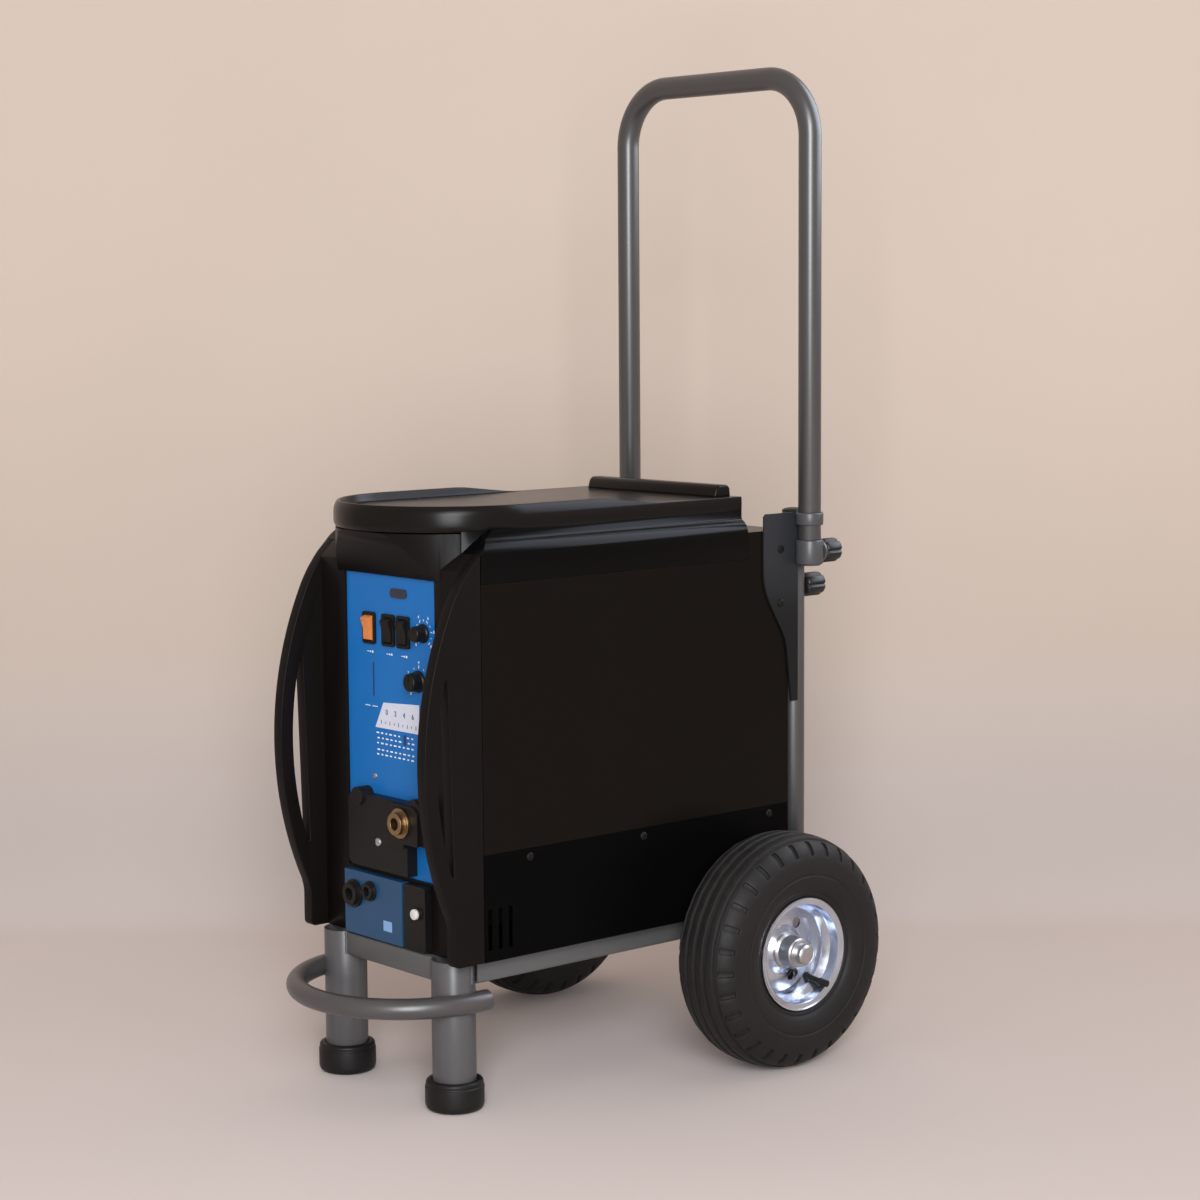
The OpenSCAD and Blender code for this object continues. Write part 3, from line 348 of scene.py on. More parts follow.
def finish(name, colour, shade, roughness, **changes):
    look = {**plainLook, **changes}
    material = bpy.data.materials.new(name)
    material.use_nodes = True
    tree = material.node_tree
    place = addNode(tree, "TexCoord").outputs["Object"]
    vector = addNode(tree, "Mapping", {"Vector": place, "Scale": look["stretch"]}).outputs["Vector"]
    aged = addNode(tree, "Group", {
        "Vector": vector, "Colour": (*colour, 1), "Shade": (*shade, 1), "Blotch Scale": look["blotchScale"],
        "Blotch": look["blotch"], "Dust": look["dust"], "Roughness": roughness,
        "Spread": look["spread"]}, node_tree=agedColour).outputs
    grain = addNode(tree, "Group", {"Vector": vector, "Scale": look["grainScale"], "Cells": look["cells"]},
        node_tree=surfaceGrain).outputs["Height"]
    bump = addNode(tree, "Bump", {"Strength": look["grain"], "Distance": look["depth"], "Height": grain})
    tone = aged["Colour"]
    # A fade is painted shade: the colour is deepened below a height.
    if look["fade"]:  # the colour deepens below a height
        low, high, share = look["fade"]
        height = addNode(tree, "SeparateXYZ", {0: place}).outputs["Z"]
        tone = scaled(tree, tone, spanned(tree, height, low, high, share, 1.0, "SMOOTHSTEP"))
    fill(tree, tree.nodes["Principled BSDF"], {
        "Base Color": tone, "Roughness": aged["Roughness"], "Normal": bump.outputs["Normal"],
        "Metallic": look["metallic"], "Coat Weight": look["coat"], "Coat Roughness": look["coatRoughness"],
        "Specular IOR Level": look["specular"]})
    return material


paint = {"grainScale": 300}
moulding = {"grainScale": 700, "dust": 0}
metal = {"metallic": 1}
spotless = {"dust": 0, "grain": 0}
tubeGloss = finish("tubeGloss", (0.033, 0.032, 0.033), (0.038, 0.037, 0.038), 0.35, spread=0, grain=0.01,
    dust=0, specular=0.95, blotchScale=9, **paint)
railGrey = finish("railGrey", (0.075, 0.075, 0.076), (0.09, 0.089, 0.089), 0.4, spread=0.08, grain=0.04,
    dust=0.03, **paint)
guideGrey = finish("guideGrey", (0.05, 0.05, 0.054), (0.062, 0.061, 0.064), 0.36, spread=0.08, grain=0.05,
    dust=0.02, **paint)
# The gusset plates' colour is deepened below a height as painted shade.
plateGrey = finish("plateGrey", (0.022, 0.0235, 0.0275), (0.028, 0.029, 0.033), 0.38, spread=0.04, grain=0.03,
    dust=0.01, specular=0.2, fade=(0.47, 0.56, 0.25), **paint)
legGrey = finish("legGrey", (0.056, 0.056, 0.061), (0.092, 0.087, 0.088), 0.34, blotch=0.7, grain=0.05,
    dust=0.02, stretch=(1, 1, 0.13), blotchScale=42, **paint)
bumperGrey = finish("bumperGrey", (0.05, 0.046, 0.048), (0.066, 0.061, 0.062), 0.32, spread=0.05, grain=0.03,
    dust=0.01, specular=0.6, **paint)
footRubber = finish("footRubber", (0.0052, 0.0043, 0.0046), (0.01, 0.0086, 0.0086), 0.45, grainScale=500,
    dust=0.02, specular=0.25)
axleSteel = finish("axleSteel", (0.5, 0.5, 0.51), (0.36, 0.35, 0.33), 0.28, spread=0.15, **metal)
tyreRubber = finish("tyreRubber", (0.0085, 0.0076, 0.0074), (0.0155, 0.0132, 0.0126), 0.52, spread=0.15,
    grainScale=500, dust=0.03, blotchScale=12, specular=0.24)
rimZinc = finish("rimZinc", (0.66, 0.7, 0.8), (0.46, 0.49, 0.55), 0.16, spread=0.14, blotchScale=30,
    grainScale=260, grain=0.1, dust=0.05, **metal)
knobBlack = finish("knobBlack", (0.008, 0.0075, 0.0075), (0.012, 0.0115, 0.011), 0.33, grainScale=900,
    grain=0.12, dust=0.03, specular=0.35)
caseBlack = finish("caseBlack", (0.005, 0.0036, 0.0027), (0.0062, 0.0046, 0.0035), 0.24, spread=0.04,
    grain=0.01, specular=0.08, blotchScale=5, **moulding)
trayBlack = finish("trayBlack", (0.0016, 0.0016, 0.0016), (0.002, 0.002, 0.002), 0.35, spread=0.04,
    grain=0.01, specular=0.03, **moulding)
coverGloss = finish("coverGloss", (0.0055, 0.0045, 0.004), (0.007, 0.0058, 0.0052), 0.25, spread=0.03,
    grain=0.01, specular=0.15, blotchScale=8, **moulding)
shoulderGloss = finish("shoulderGloss", (0.0014, 0.0013, 0.0014), (0.002, 0.0018, 0.0019), 0.2, spread=0,
    grain=0, specular=0.1, blotchScale=8, **moulding)
bezelBlack = finish("bezelBlack", (0.0056, 0.0044, 0.0041), (0.0068, 0.0055, 0.0052), 0.36, spread=0,
    grain=0, specular=0.09, blotchScale=8, **moulding)
panelBlue = finish("panelBlue", (0.006, 0.122, 0.385), (0.0075, 0.14, 0.42), 0.34, spread=0.06, grain=0.02,
    specular=0.28, **moulding)
# The lower panel's blue is painted darker than the upper panel's, as painted shade.
lowerBlue = finish("lowerBlue", (0.009, 0.05, 0.118), (0.011, 0.06, 0.14), 0.3, spread=0.08, grainScale=1500,
    grain=0.06, dust=0.01, specular=0.4)
blockBlack = finish("blockBlack", (0.0056, 0.005, 0.0048), (0.0085, 0.0076, 0.0074), 0.36, grainScale=1400,
    grain=0.12, dust=0.03, specular=0.2)
rockerAmber = finish("rockerAmber", (0.62, 0.2, 0.045), (0.5, 0.14, 0.03), 0.25, coat=0.4, dust=0.02)
brassTurned = finish("brassTurned", (0.36, 0.25, 0.13), (0.25, 0.17, 0.085), 0.3, spread=0.12, dust=0.05,
    **metal)
lensDark = finish("lensDark", (0.012, 0.014, 0.03), (0.016, 0.018, 0.035), 0.08, coat=0.6, **spotless)
screwDark = finish("screwDark", (0.006, 0.0055, 0.005), (0.009, 0.008, 0.0075), 0.4, specular=0.15, dust=0)
guardSteel = finish("guardSteel", (0.62, 0.62, 0.63), (0.45, 0.45, 0.45), 0.22, **metal)
fanBlack = finish("fanBlack", (0.02, 0.02, 0.02), (0.03, 0.03, 0.03), 0.5, dust=0.3)
innerZinc = finish("innerZinc", (0.5, 0.51, 0.52), (0.4, 0.4, 0.4), 0.35, **metal)
coreVarnish = finish("coreVarnish", (0.12, 0.06, 0.03), (0.2, 0.11, 0.05), 0.4)
sinkAluminium = finish("sinkAluminium", (0.6, 0.6, 0.62), (0.5, 0.5, 0.5), 0.4, **metal)
boardGreen = finish("boardGreen", (0.02, 0.12, 0.05), (0.03, 0.16, 0.07), 0.4)
platePale = finish("platePale", (0.58, 0.6, 0.7), (0.5, 0.53, 0.64), 0.4, dust=0.02, grain=0)
# A paler blue that paints a highlight on the lower panel.
paintedHighlightBlue = finish("paintedHighlightBlue", (0.2, 0.36, 0.62), (0.17, 0.32, 0.58), 0.4, **spotless)
# The breaker cap's pale colour is a painted highlight on a real button.
buttonHighlightPale = finish("buttonHighlightPale", (0.62, 0.6, 0.57), (0.52, 0.5, 0.47), 0.4, dust=0.05)
printWhite = finish("printWhite", (0.72, 0.76, 0.8), (0.62, 0.66, 0.7), 0.5, dust=0.02, grain=0)
# Dark blue ink for print, also used for the groove's painted shade.
inkAndShadeBlue = finish("inkAndShadeBlue", (0.008, 0.03, 0.12), (0.008, 0.03, 0.12), 0.4, **spotless)
print("materials ready")

wheelSet = {"middle": 206, "axle": 128.5, "radius": 128.5, "half": 43, "rim": 62,
    "shoulder": 89, "roundness": 2.75, "sectors": 120, "lugEvery": 4, "lugDepth": 2.8,
    "lugs": (31, 41, 104), "waver": 0.35, "grooveDepth": 4, "grooves": (13, 26), "holes": (52, 172, 292),
    "holeReach": 33, "hole": 6, "valveTurn": -50}
wheelMiddle = (wheelSet["middle"], 0, wheelSet["axle"])


def crownRadius(across):
    # The crown is a superellipse from the tread's top down to the shoulder.
    top, shoulder, power = (wheelSet[k] for k in ("radius", "shoulder", "roundness"))
    share = min(abs(across) / wheelSet["half"], 1)
    return shoulder + (top - shoulder) * (1 - share ** power) ** (1 / power)


def tyreSection():
    # Half of the closed section, from the tread's middle round the wall to the inside.
    rim, depth = wheelSet["rim"], wheelSet["grooveDepth"]
    drops = [(0, depth), (1.3, depth), (2.3, 0)]
    for groove in wheelSet["grooves"]:
        drops += [(groove - 6, 0), (groove - 2.3, 0), (groove - 1.3, depth), (groove + 1.3, depth),
            (groove + 2.3, 0)]
    drops += [(across, 0) for across in (30, 32, 34.5, 37, 39, 40.6, 41.8, 42.6)]
    points = [(across, crownRadius(0 if across < 2 else across) - drop) for across, drop in drops]
    return points + [(43, 93), (43, 89), (42.2, 88), (42.2, 86.6), (42.9, 85.6), (42.4, 81), (41.2, 76.5),
        (39.4, 72), (37.4, 68.6), (36.6, 68.2), (36.2, 67.2), (36.4, 66), (35.6, 64.4), (34.6, 63.3),
        (33.4, 62.2), (33, 61), (33, rim - 5.8), (27, rim - 5.8), (26, rim - 1), (31, rim + 7),
        (36, rim + 17), (37.6, 91), (36.4, 104), (29.5, 114.5), (19, 118.5), (0, 119.5)]


def bothHalves(half):
    return half + [(-across, radius) for across, radius in reversed(half[1:-1])]


def makeTyre():
    tyre = addTurned("tyreSkinRight", bothHalves(tyreSection()), wheelMiddle, (1, 0, 0),
        wheelSet["sectors"], closed=True)
    centre = toRow(*wheelMiddle)
    step = 360 / wheelSet["sectors"]

    def lateral(point):
        return (point.x - centre.x) * 1000

    def outward(point):
        return hypot(point.y - centre.y, point.z - centre.z) * 1000

    def turned(point):
        return degrees(atan2(point.z - centre.z, point.y - centre.y)) % 360

    for vertex in tyre.data.vertices:  # the ribs of the tread waver slightly
        side, out = abs(lateral(vertex.co)), outward(vertex.co)
        if side < 29 and (out > 121 or out > 116 and side > 0.5):
            phase = (round(turned(vertex.co) / step) % 4) / 4
            vertex.co.x += wheelSet["waver"] / 1000 * (1 - 4 * abs(phase - 0.5))
    for item in (*tyre.data.edges, *tyre.data.vertices):
        item.select = False
    near, far, low = wheelSet["lugs"]
    for face in tyre.data.polygons:  # every few sectors a notch is cut in each shoulder
        side = lateral(face.center)
        sector = int(turned(face.center) // step) + (2 if side < 0 else 0)
        beside = near < abs(side) < far and outward(face.center) > low
        face.select = beside and sector % wheelSet["lugEvery"] == 0
        if face.select:
            for v in face.vertices:
                tyre.data.vertices[v].select = True
    pick(tyre)
    bpy.ops.object.mode_set(mode="EDIT")
    bpy.ops.mesh.select_mode(type="FACE")
    depth = -wheelSet["lugDepth"] / 1000
    bpy.ops.mesh.extrude_region_shrink_fatten(TRANSFORM_OT_shrink_fatten={"value": depth})
    bpy.ops.mesh.select_mode(type="VERT")
    bpy.ops.object.mode_set(mode="OBJECT")
    return soften(tyre, 0.5, 2, corner=38, smooth=42)


def makeRim():
    rim = wheelSet["rim"]
    drops = ((0, 13), (15, 13), (17, 12.2), (22, 7.2), (24, 6.2), (32, 6.2), (33.2, 5.2), (33.5, 1.6),
        (34.3, 0.3), (35.4, 0), (36.3, 0.5), (36.5, 1.4), (36, 2.2), (35.5, 3.2), (35.2, 6), (34.3, 7.6),
        (32.6, 8.2), (24.4, 8.2), (22.8, 9), (17.6, 14.2), (15.4, 15), (0, 15))
    half = [(across, rim - drop) for across, drop in drops]
    barrel = addTurned("rimSkinRight", bothHalves(half), wheelMiddle, (1, 0, 0), 120, closed=True)
    soften(barrel, 0, smooth=28)
    # Pressed disc: flat rim, a raised ring and a cone that runs up to the hub.
    disc = addTurned("disc", [(-1.2, 47.2), (-1.2, 42), (1.4, 39), (1.4, 25), (3.2, 22), (7, 19.5),
        (7, 17.06), (9.4, 17.06), (9.4, 21), (5.6, 24), (3.8, 27), (3.8, 38), (1.2, 43), (1.2, 47.2)],
        wheelMiddle, (1, 0, 0), 120, closed=True)
    x = wheelSet["middle"]
    for angle in wheelSet["holes"]:
        y, z = onCircle(wheelSet["holeReach"], angle, 0, wheelSet["axle"])
        cut(disc, addRod("hole", (x - 9, y, z), (x + 15, y, z), wheelSet["hole"], 40))
    soften(disc, 0.5, 2, smooth=30)
    return joinUp("rimSkinRight", [barrel, disc])


def makeHub():
    hub = addTurned("hubSkinRight", [(-30, 8.03), (-30, 14.5), (-28.8, 16), (-24, 17), (-1.25, 17),
        (-1.25, 22), (-3, 24), (-4.2, 24), (-4.2, 17), (9.5, 17), (9.5, 19.4), (12, 19.4), (14, 17),
        (24, 17), (28.8, 16), (30, 14.5), (30, 8.03)], wheelMiddle, (1, 0, 0), closed=True)
    return soften(hub, 0, smooth=28)


def makeValve():
    def at(across, radius):
        ring = onCircle(radius, wheelSet["valveTurn"], 0, wheelSet["axle"])
        return (wheelSet["middle"] + across, *ring)

    seat = addRod("valveSkinRight", at(11, 50), at(12.5, 41.5), 5.2, 32, tip=4.2)
    stem = addRod("stem", at(12, 43.5), at(33, 47.5), 3.4, 32, tip=2.9)
    cap = addRod("cap", at(30, 46.9), at(41, 49), 4.1, 24, tip=3.6)
    return soften(joinUp("valveSkinRight", [seat, stem, cap]), 0.4, 2)


for make, part, slotName, material in (
        (makeTyre, "tyre", "tyre_rubber", tyreRubber), (makeRim, "rim", "rim_zinc", rimZinc),
        (makeHub, "hub", "axle_steel", axleSteel), (makeValve, "valve", "foot_rubber", footRubber)):
    dressPair(make(), part + "SkinLeft", ("wheel_left", "wheel_right"), slotName, material, part)
print("wheels ready")

coverSet = {"half": 125, "centre": -285.5, "rear": 20, "floor": 617.4, "under": 598.4, "lip": 9,
    "lipWidth": 8, "fullTo": -195, "goneAt": -98, "case": 135, "wall": 1.7, "roof": 578.4, "skirt": 548.8,
    "seam": -352.8, "slope": -353, "shoulder": 16, "ridge": 108, "beyond": 150}


def makeSlope():
    # The space ahead of the rounded slope at the front of the case's top, as steps from its upper end.
    steps = ((-134, 40), (40, 40), (19.5, 19.5), (9, 9.6), (0, 0), (-6, -5.4), (-12, -11.4), (-17, -16.8),
        (-21, -22.4), (-25, -28.3), (-31, -38.5), (-134, -236))
    points = [(coverSet["slope"] + y, coverSet["roof"] + z) for y, z in steps]
    return addPrism("slope", points, "x", -coverSet["beyond"], coverSet["beyond"])


def slabPlug(inset):
    # A plug with the plan of the cover's slab.
    half, rear = coverSet["half"] - inset, coverSet["rear"] - inset
    front = [onCircle(half, angle, 0, coverSet["centre"]) for angle in range(180, 361, 3)]
    return addPrism("plug", front + [(half, rear), (-half, rear)], "z", 500, 640)


def cutSlope(piece, inset):
    # Cuts the slope into a piece, but not under the cover's slab.
    corner = makeSlope()
    cut(corner, slabPlug(inset))
    return cut(piece, corner)


def makeSlab():
    floor, under, half, lip = (coverSet[k] for k in ("floor", "under", "half", "lip"))
    inner, brim = half - coverSet["lipWidth"], floor + lip
    turned = [(under, 30), (under, half - 5), (under + 1.2, half - 2), (under + 3.6, half - 0.4),
        (under + 7, half), (under + 13, half), (under + 18, half - 0.2), (under + 22, half - 1),
        (under + 25, half - 2.4), (brim - 0.6, half - 4), (brim, half - 5.4), (brim - 0.8, half - 6.8),
        (brim - 3.2, inner), (floor + 1.6, inner - 0.6), (floor + 0.3, inner - 1.6), (floor, inner - 3.4),
        (floor, 30)]
    slab = addTurned("coverSkin", turned, (0, coverSet["centre"], 0), (0, 0, 1), 144)
    # The rear half is cut away and the outline drawn straight back.
    openMesh(slab)
    bpy.ops.mesh.bisect(plane_co=toRow(0, coverSet["centre"], 0), plane_no=(0, 1, 0), clear_outer=True)
    bpy.ops.mesh.select_all(action="DESELECT")
    bpy.ops.mesh.select_non_manifold()
    extrudeBy(0, coverSet["rear"] - coverSet["centre"], 0)
    bpy.ops.mesh.edge_face_add()
    closeMesh()
    # The lip tapers away between the place where it is full and the place where it is gone.
    full, gone, flush = coverSet["fullTo"], coverSet["goneAt"], floor + 0.05
    wedge = [(full - 30, brim + 1), (full, brim + 0.1), (full + 20, brim - 0.8), (gone - 16, floor + 0.9),
        (gone, flush), (60, flush), (60, floor + 40), (full - 30, floor + 40)]
    return cut(slab, addPrism("lipTaper", wedge, "x", -coverSet["beyond"], coverSet["beyond"]))


def makeShoulders():
    half, case, roof, bend = (coverSet[k] for k in ("half", "case", "roof", "shoulder"))
    side = [(case, coverSet["skirt"]), (case, roof - 2)]
    side += [onCircle(bend, angle, half - 6, roof - 1) for angle in range(4, 69, 6)]
    side += [(half - 0.4, roof + 16), (half - 0.4, coverSet["under"] + 4)]
    profile = side + [(-x, z) for x, z in reversed(side)]
    body = addPrism("shoulders", profile, "y", coverSet["seam"], coverSet["rear"])
    inside = case - coverSet["wall"]
    cut(body, addBox("inside", (-inside, -400, 500), (inside, 60, roof)))
    return cutSlope(body, 1.5)


def makeRidge():
    rises = ((-5, -1), (-4, 3), (-2, 9), (1, 11.8), (4, 12.6), (13, 12.6), (16.5, 11.4), (18.6, 8.6),
        (19.6, -1))
    points = [(y, coverSet["floor"] + rise) for y, rise in rises]
    return addPrism("ridge", points, "x", -coverSet["ridge"], coverSet["ridge"])


def makeCover():
    pieces = [
        soften(makeSlab(), 1.0, 3, corner=40, smooth=32),
        soften(makeShoulders(), 1.6, 3, corner=35, smooth=38),
        soften(makeRidge(), 2.4, 4, corner=50, smooth=45)]
    for piece, material in zip(pieces, (coverGloss, shoulderGloss, coverGloss)):
        piece.data.materials.append(material)
    return joinUp("coverSkin", pieces)


dress(makeCover(), "cart", "moulding_black", None, "top_cover")
print("cover ready")

bezelSet = {"case": 135, "inner": 121, "foot": -392, "seam": -353.2, "wall": -370, "deck": 158.4, "gap": 0.3,
    "bow": (-37.7, 364.4, 389), "bar": 16, "slotBack": ((-398, 494.4), (-391, 234.4)),
    "windows": ((-79, 79, 232.4, 549.4), (-68, 22, 166.4, 223.4))}


def bowPoints(radius, low, high, step):
    y, z, _ = bezelSet["bow"]
    count = max(2, int(abs(high - low) / step))
    rises = [low + (high - low) * i / count for i in range(count + 1)]
    return [(y - sqrt(radius ** 2 - rise ** 2), z + rise) for rise in rises]


def makeCheek():
    foot, seam, deck, inner, case = (bezelSet[k] for k in ("foot", "seam", "deck", "inner", "case"))
    radius = bezelSet["bow"][2]
    outline = [(seam, deck), (foot + 6, deck), (foot + 3, deck + 0.8), (foot + 0.8, deck + 3),
        (foot, deck + 6), (foot, deck + 38), (foot - 0.6, deck + 43)] + bowPoints(radius, -155, 172, 8)
    outline += [(-380, 547.6), (-376, 553.2), (-371, 560), (-365, 567), (-359, 572.8),
        (seam, coverSet["roof"])]
    cheek = addPrism("bezelSkin", outline, "x", inner, case)
    # The hand slot follows the bow in front, and a slanting line behind.
    (topY, topZ), (lowY, lowZ) = bezelSet["slotBack"]
    lean = (topY - lowY) / (topZ - lowZ)
    front = bowPoints(radius - bezelSet["bar"], -112, 92, 6)
    slot = [(y, z) for y, z in front if y < lowY + lean * (z - lowZ) - 1.5]
    slot += [(lowY + lean * (z - lowZ), z) for z in (slot[-1][1] - 1, slot[0][1] + 1)]
    cut(cheek, addPrism("slot", slot, "x", inner - 5, case + 5))
    return soften(cheek, 3.4, 4, corner=24, smooth=40)


def makeWall():
    inner, seam, wall, deck = (bezelSet[k] for k in ("inner", "seam", "wall", "deck"))
    top = coverSet["under"] - bezelSet["gap"]
    plate = addBox("wall", (-inner - 0.6, wall, deck), (inner + 0.6, seam, top))
    cutSlope(plate, 2)
    drops = ((-404, 0.2), (-401, 3), (-399, 7), (-394, 15), (-388, 24), (-382, 33), (-376, 42),
        (wall - 0.4, 49))
    outline = [(seam - 0.6, top - 0.2)] + [(y, top - drop) for y, drop in drops] + [(seam - 0.6, top - 49)]
    brow = addPrism("brow", outline, "x", -inner, inner)
    combine(brow, slabPlug(2), "INTERSECT")
    combine(plate, brow, "UNION")
    for left, right, low, high in bezelSet["windows"]:
        cut(plate, addBox("window", (left, wall - 5, low), (right, seam + 5, high)))
    return soften(plate, 1.4, 3, corner=40, smooth=38)


def makeBezel():
    cheek = makeCheek()
    return joinUp("bezelSkin", [cheek, mirrored(cheek, "cheek"), makeWall()])


dress(makeBezel(), "cart", "moulding_black", bezelBlack, "front_bezel")
print("bezel ready")

marksSet = {"panel": -366.8, "print": 0.3, "dials": ((56, 493.4, 13.6, 11), (47, 442.4, 15.2, 9)),
    "sweep": 270, "numeral": 4.6, "rockers": (-38, -4, 22), "rockerRow": 466, "dashes": (-44, -31),
    "dashRow": 408, "groove": (-33, 437, 2.4, 36)}


def addMark(across, high, width, height, depth, turn=0):
    # A thin raised print on the control panel, turned about its own middle.
    mark = addBox("mark", (across - width / 2, depth, high - height / 2),
        (across + width / 2, depth + marksSet["print"], high + height / 2))
    bpy.ops.transform.rotate(value=radians(turn), orient_axis="Y",
        center_override=toRow(across, depth, high))
    return settle(mark)


def addNumeral(text, across, high, size, depth):
    clearSelection()
    bpy.ops.object.text_add(location=toRow(across, depth, high), rotation=(radians(90), 0, 0))
    words = bpy.context.object.data
    words.body = text
    words.size = size / 1000
    words.extrude = 0.00012
    words.align_x = "CENTER"
    words.align_y = "CENTER"
    bpy.ops.object.convert(target="MESH")
    return settle(bpy.context.object)


def makeMarks():
    face, size = marksSet["panel"] - 0.25, marksSet["numeral"]
    pieces = []
    for across, high, reach, count in marksSet["dials"]:
        for i in range(count):
            angle = 90 + marksSet["sweep"] * (0.5 - i / (count - 1))
            long = i % 2 == 0
            width, height = (0.7, 3.4) if long else (0.5, 2.2)
            pieces.append(addMark(*onCircle(reach, angle, across, high), width, height, face, 90 - angle))
            if long:
                pieces.append(addNumeral(str(i), *onCircle(reach + size, angle, across, high), size, face))
    for across in marksSet["rockers"]:
        for i in range(3):
            pieces.append(addMark(across - 4 + 4 * i, marksSet["rockerRow"], 2.2, 0.8 + 0.7 * i, face))
    pieces += [addMark(across, marksSet["dashRow"], 9, 0.8, face) for across in marksSet["dashes"]]
    return joinUp("panelMarks", pieces)


dress(makeMarks(), "cart", "panel_blue", printWhite)
# The groove is drawn as a flat dark-blue strip; its dark colour is painted shade.
dress(addMark(*marksSet["groove"], marksSet["panel"] - 0.2), "cart", "panel_blue", inkAndShadeBlue)
print("marks ready")

tubeSet = {"radius": 12.7, "wall": 2, "post": (125.2, 99), "handle": (151, 99), "deck": 158.4, "postTop": 597,
    "clamp": 553, "top": 1088, "bend": 66, "collar": 15.38, "boss": 116, "rail": 25.4, "railFloor": 133,
    "railSide": 105.3, "leg": (96, -365, 23), "bumper": (120, -350, 115, 11), "bumperEnd": 11.2}


def startRing(name, place, radius, sides=48, turn=(0, 0, 0)):
    # An open ring of edges that a tube is drawn out of, left in edit mode.
    clearSelection()
    bpy.ops.mesh.primitive_circle_add(vertices=sides, radius=radius / 1000, location=toRow(*place),
        rotation=turn)
    ring = settle(named(name))
    openMesh(ring)
    return ring


def spinRing(angle, centre, axis, steps):
    bpy.ops.mesh.spin(steps=steps, angle=radians(angle), center=toRow(*centre), axis=axis)


def endRing(piece, wall=tubeSet["wall"]):
    # Leaves edit mode and gives the tube its wall and rounded ends.
    closeMesh()
    addStep(piece, "SOLIDIFY", thickness=wall / 1000, offset=-1)
    return soften(piece, 0.5, 2, corner=60, smooth=40)


def makeHandle():
    x, y = tubeSet["handle"]
    bend, low = tubeSet["bend"], tubeSet["clamp"] - 15
    bar = tubeSet["top"] - tubeSet["radius"]
    tube = startRing("handleSkin", (x, y, low), tubeSet["radius"])
    extrudeBy(0, 0, bar - bend - low)
    spinRing(90, (x - bend, y, bar - bend), (0, 1, 0), 20)
    extrudeBy(-2 * (x - bend), 0, 0)
    spinRing(90, (bend - x, y, bar - bend), (0, 1, 0), 20)
    extrudeBy(0, 0, low - bar + bend)
    return endRing(tube)


def squareRing(centre, half, radius, steps=5):
    points = []
    for i, (sa, sb) in enumerate(((1, 1), (-1, 1), (-1, -1), (1, -1))):
        corner = centre[0] + sa * (half - radius), centre[1] + sb * (half - radius)
        points += [onCircle(radius, 90 * i + 90 * k / steps, *corner) for k in range(steps + 1)]
    return points


def addSquareTube(name, axis, centre, low, high):
    half = tubeSet["rail"] / 2
    tube = addPrism(name, squareRing(centre, half, 3), axis, low, high)
    inner = squareRing(centre, half - tubeSet["wall"], 1.4)
    return cut(tube, addPrism("bore", inner, axis, low - 5, high + 5))


def addBead(points, radius):
    # A weld bead: overlapping flattened drops along a line.
    drops = []
    for i, place in enumerate(points):
        clearSelection()
        size = radius * (1 + 0.1 * sin(5.3 * i)) / 1000
        bpy.ops.mesh.primitive_uv_sphere_add(segments=10, ring_count=6, radius=size, location=toRow(*place),
            scale=(1, 1, 0.85))
        drops.append(bpy.context.object)
    bead = settle(joinUp("bead", drops))
    bpy.ops.object.shade_smooth()
    return bead


def makeRails():
    rail, floor, side, (postX, postY) = (tubeSet[k] for k in ("rail", "railFloor", "railSide", "post"))
    legX, legY, legR = tubeSet["leg"]
    middle, outer, axle = floor + rail / 2, side + rail / 2, wheelSet["axle"]
    long = addSquareTube("railSkin", "y", (side, middle), legY + 15, postY - rail / 2 - 0.1)
    cut(long, addRod("leg", (legX, legY, middle - 40), (legX, legY, middle + 40), legR + 0.05, 96))
    cut(long, addRod("axle", (side - 40, 0, axle), (side + 40, 0, axle), 8.1, 48))
    front = addSquareTube("frontRail", "x", (legY, middle), -legX, legX)
    for x in (-legX, legX):
        cut(front, addRod("leg", (x, legY, middle - 40), (x, legY, middle + 40), legR + 0.05, 96))
    rear = addSquareTube("rearRail", "x", (postY, middle), -postX - tubeSet["radius"],
        postX + tubeSet["radius"])
    for piece in (long, front, rear):
        soften(piece, 0.4, 2, corner=50, smooth=40)
    twin = mirrored(long, "railTwin")
    rises = [floor + 2 + (tubeSet["deck"] - floor - 4) * i / 9 for i in range(10)]
    meet = legY + sqrt(legR ** 2 - (outer - legX) ** 2) + 0.4
    beads = addBead([(outer - 0.2, meet, z) for z in rises], 1.9)
    low = [(x, legY - rail / 2 + 0.3, z) for z in rises for x in (-legX + 19.4, legX - 19.4)]
    return joinUp("railSkin", [long, twin, front, rear, beads, mirrored(beads, "beadTwin"),
        addBead(low, 1.9)])


def makeLeg():
    x, y, radius = tubeSet["leg"]
    _, _, barZ, barR = tubeSet["bumper"]
    tube = startRing("legSkin", (x, y, 8), radius, 72)
    extrudeBy(0, 0, tubeSet["deck"] - 8)
    tube = endRing(tube, 2.5)
    around = [(*onCircle(radius + 0.2, angle, x, y), barZ + barR * 0.92 * side)
        for side in (-1, 1) for angle in range(-22, 40, 6)]
    return joinUp("legSkin", [tube, addBead(around, 1.8)])


def makeFoot():
    x, y, _ = tubeSet["leg"]
    profile = [(0, 4), (0, 25), (0.8, 27.4), (2.6, 29.6), (5.5, 30.7), (8, 31), (23.6, 31), (25.2, 30.8),
        (26, 29.9), (27, 29.7), (28, 30.1), (30, 29.8), (31.3, 28.8), (32, 27), (32, 24.2), (30.5, 23.4),
        (8, 23.2), (8, 4)]
    return soften(addTurned("footSkin", profile, (x, y, 0), (0, 0, 1)), 0, smooth=40)


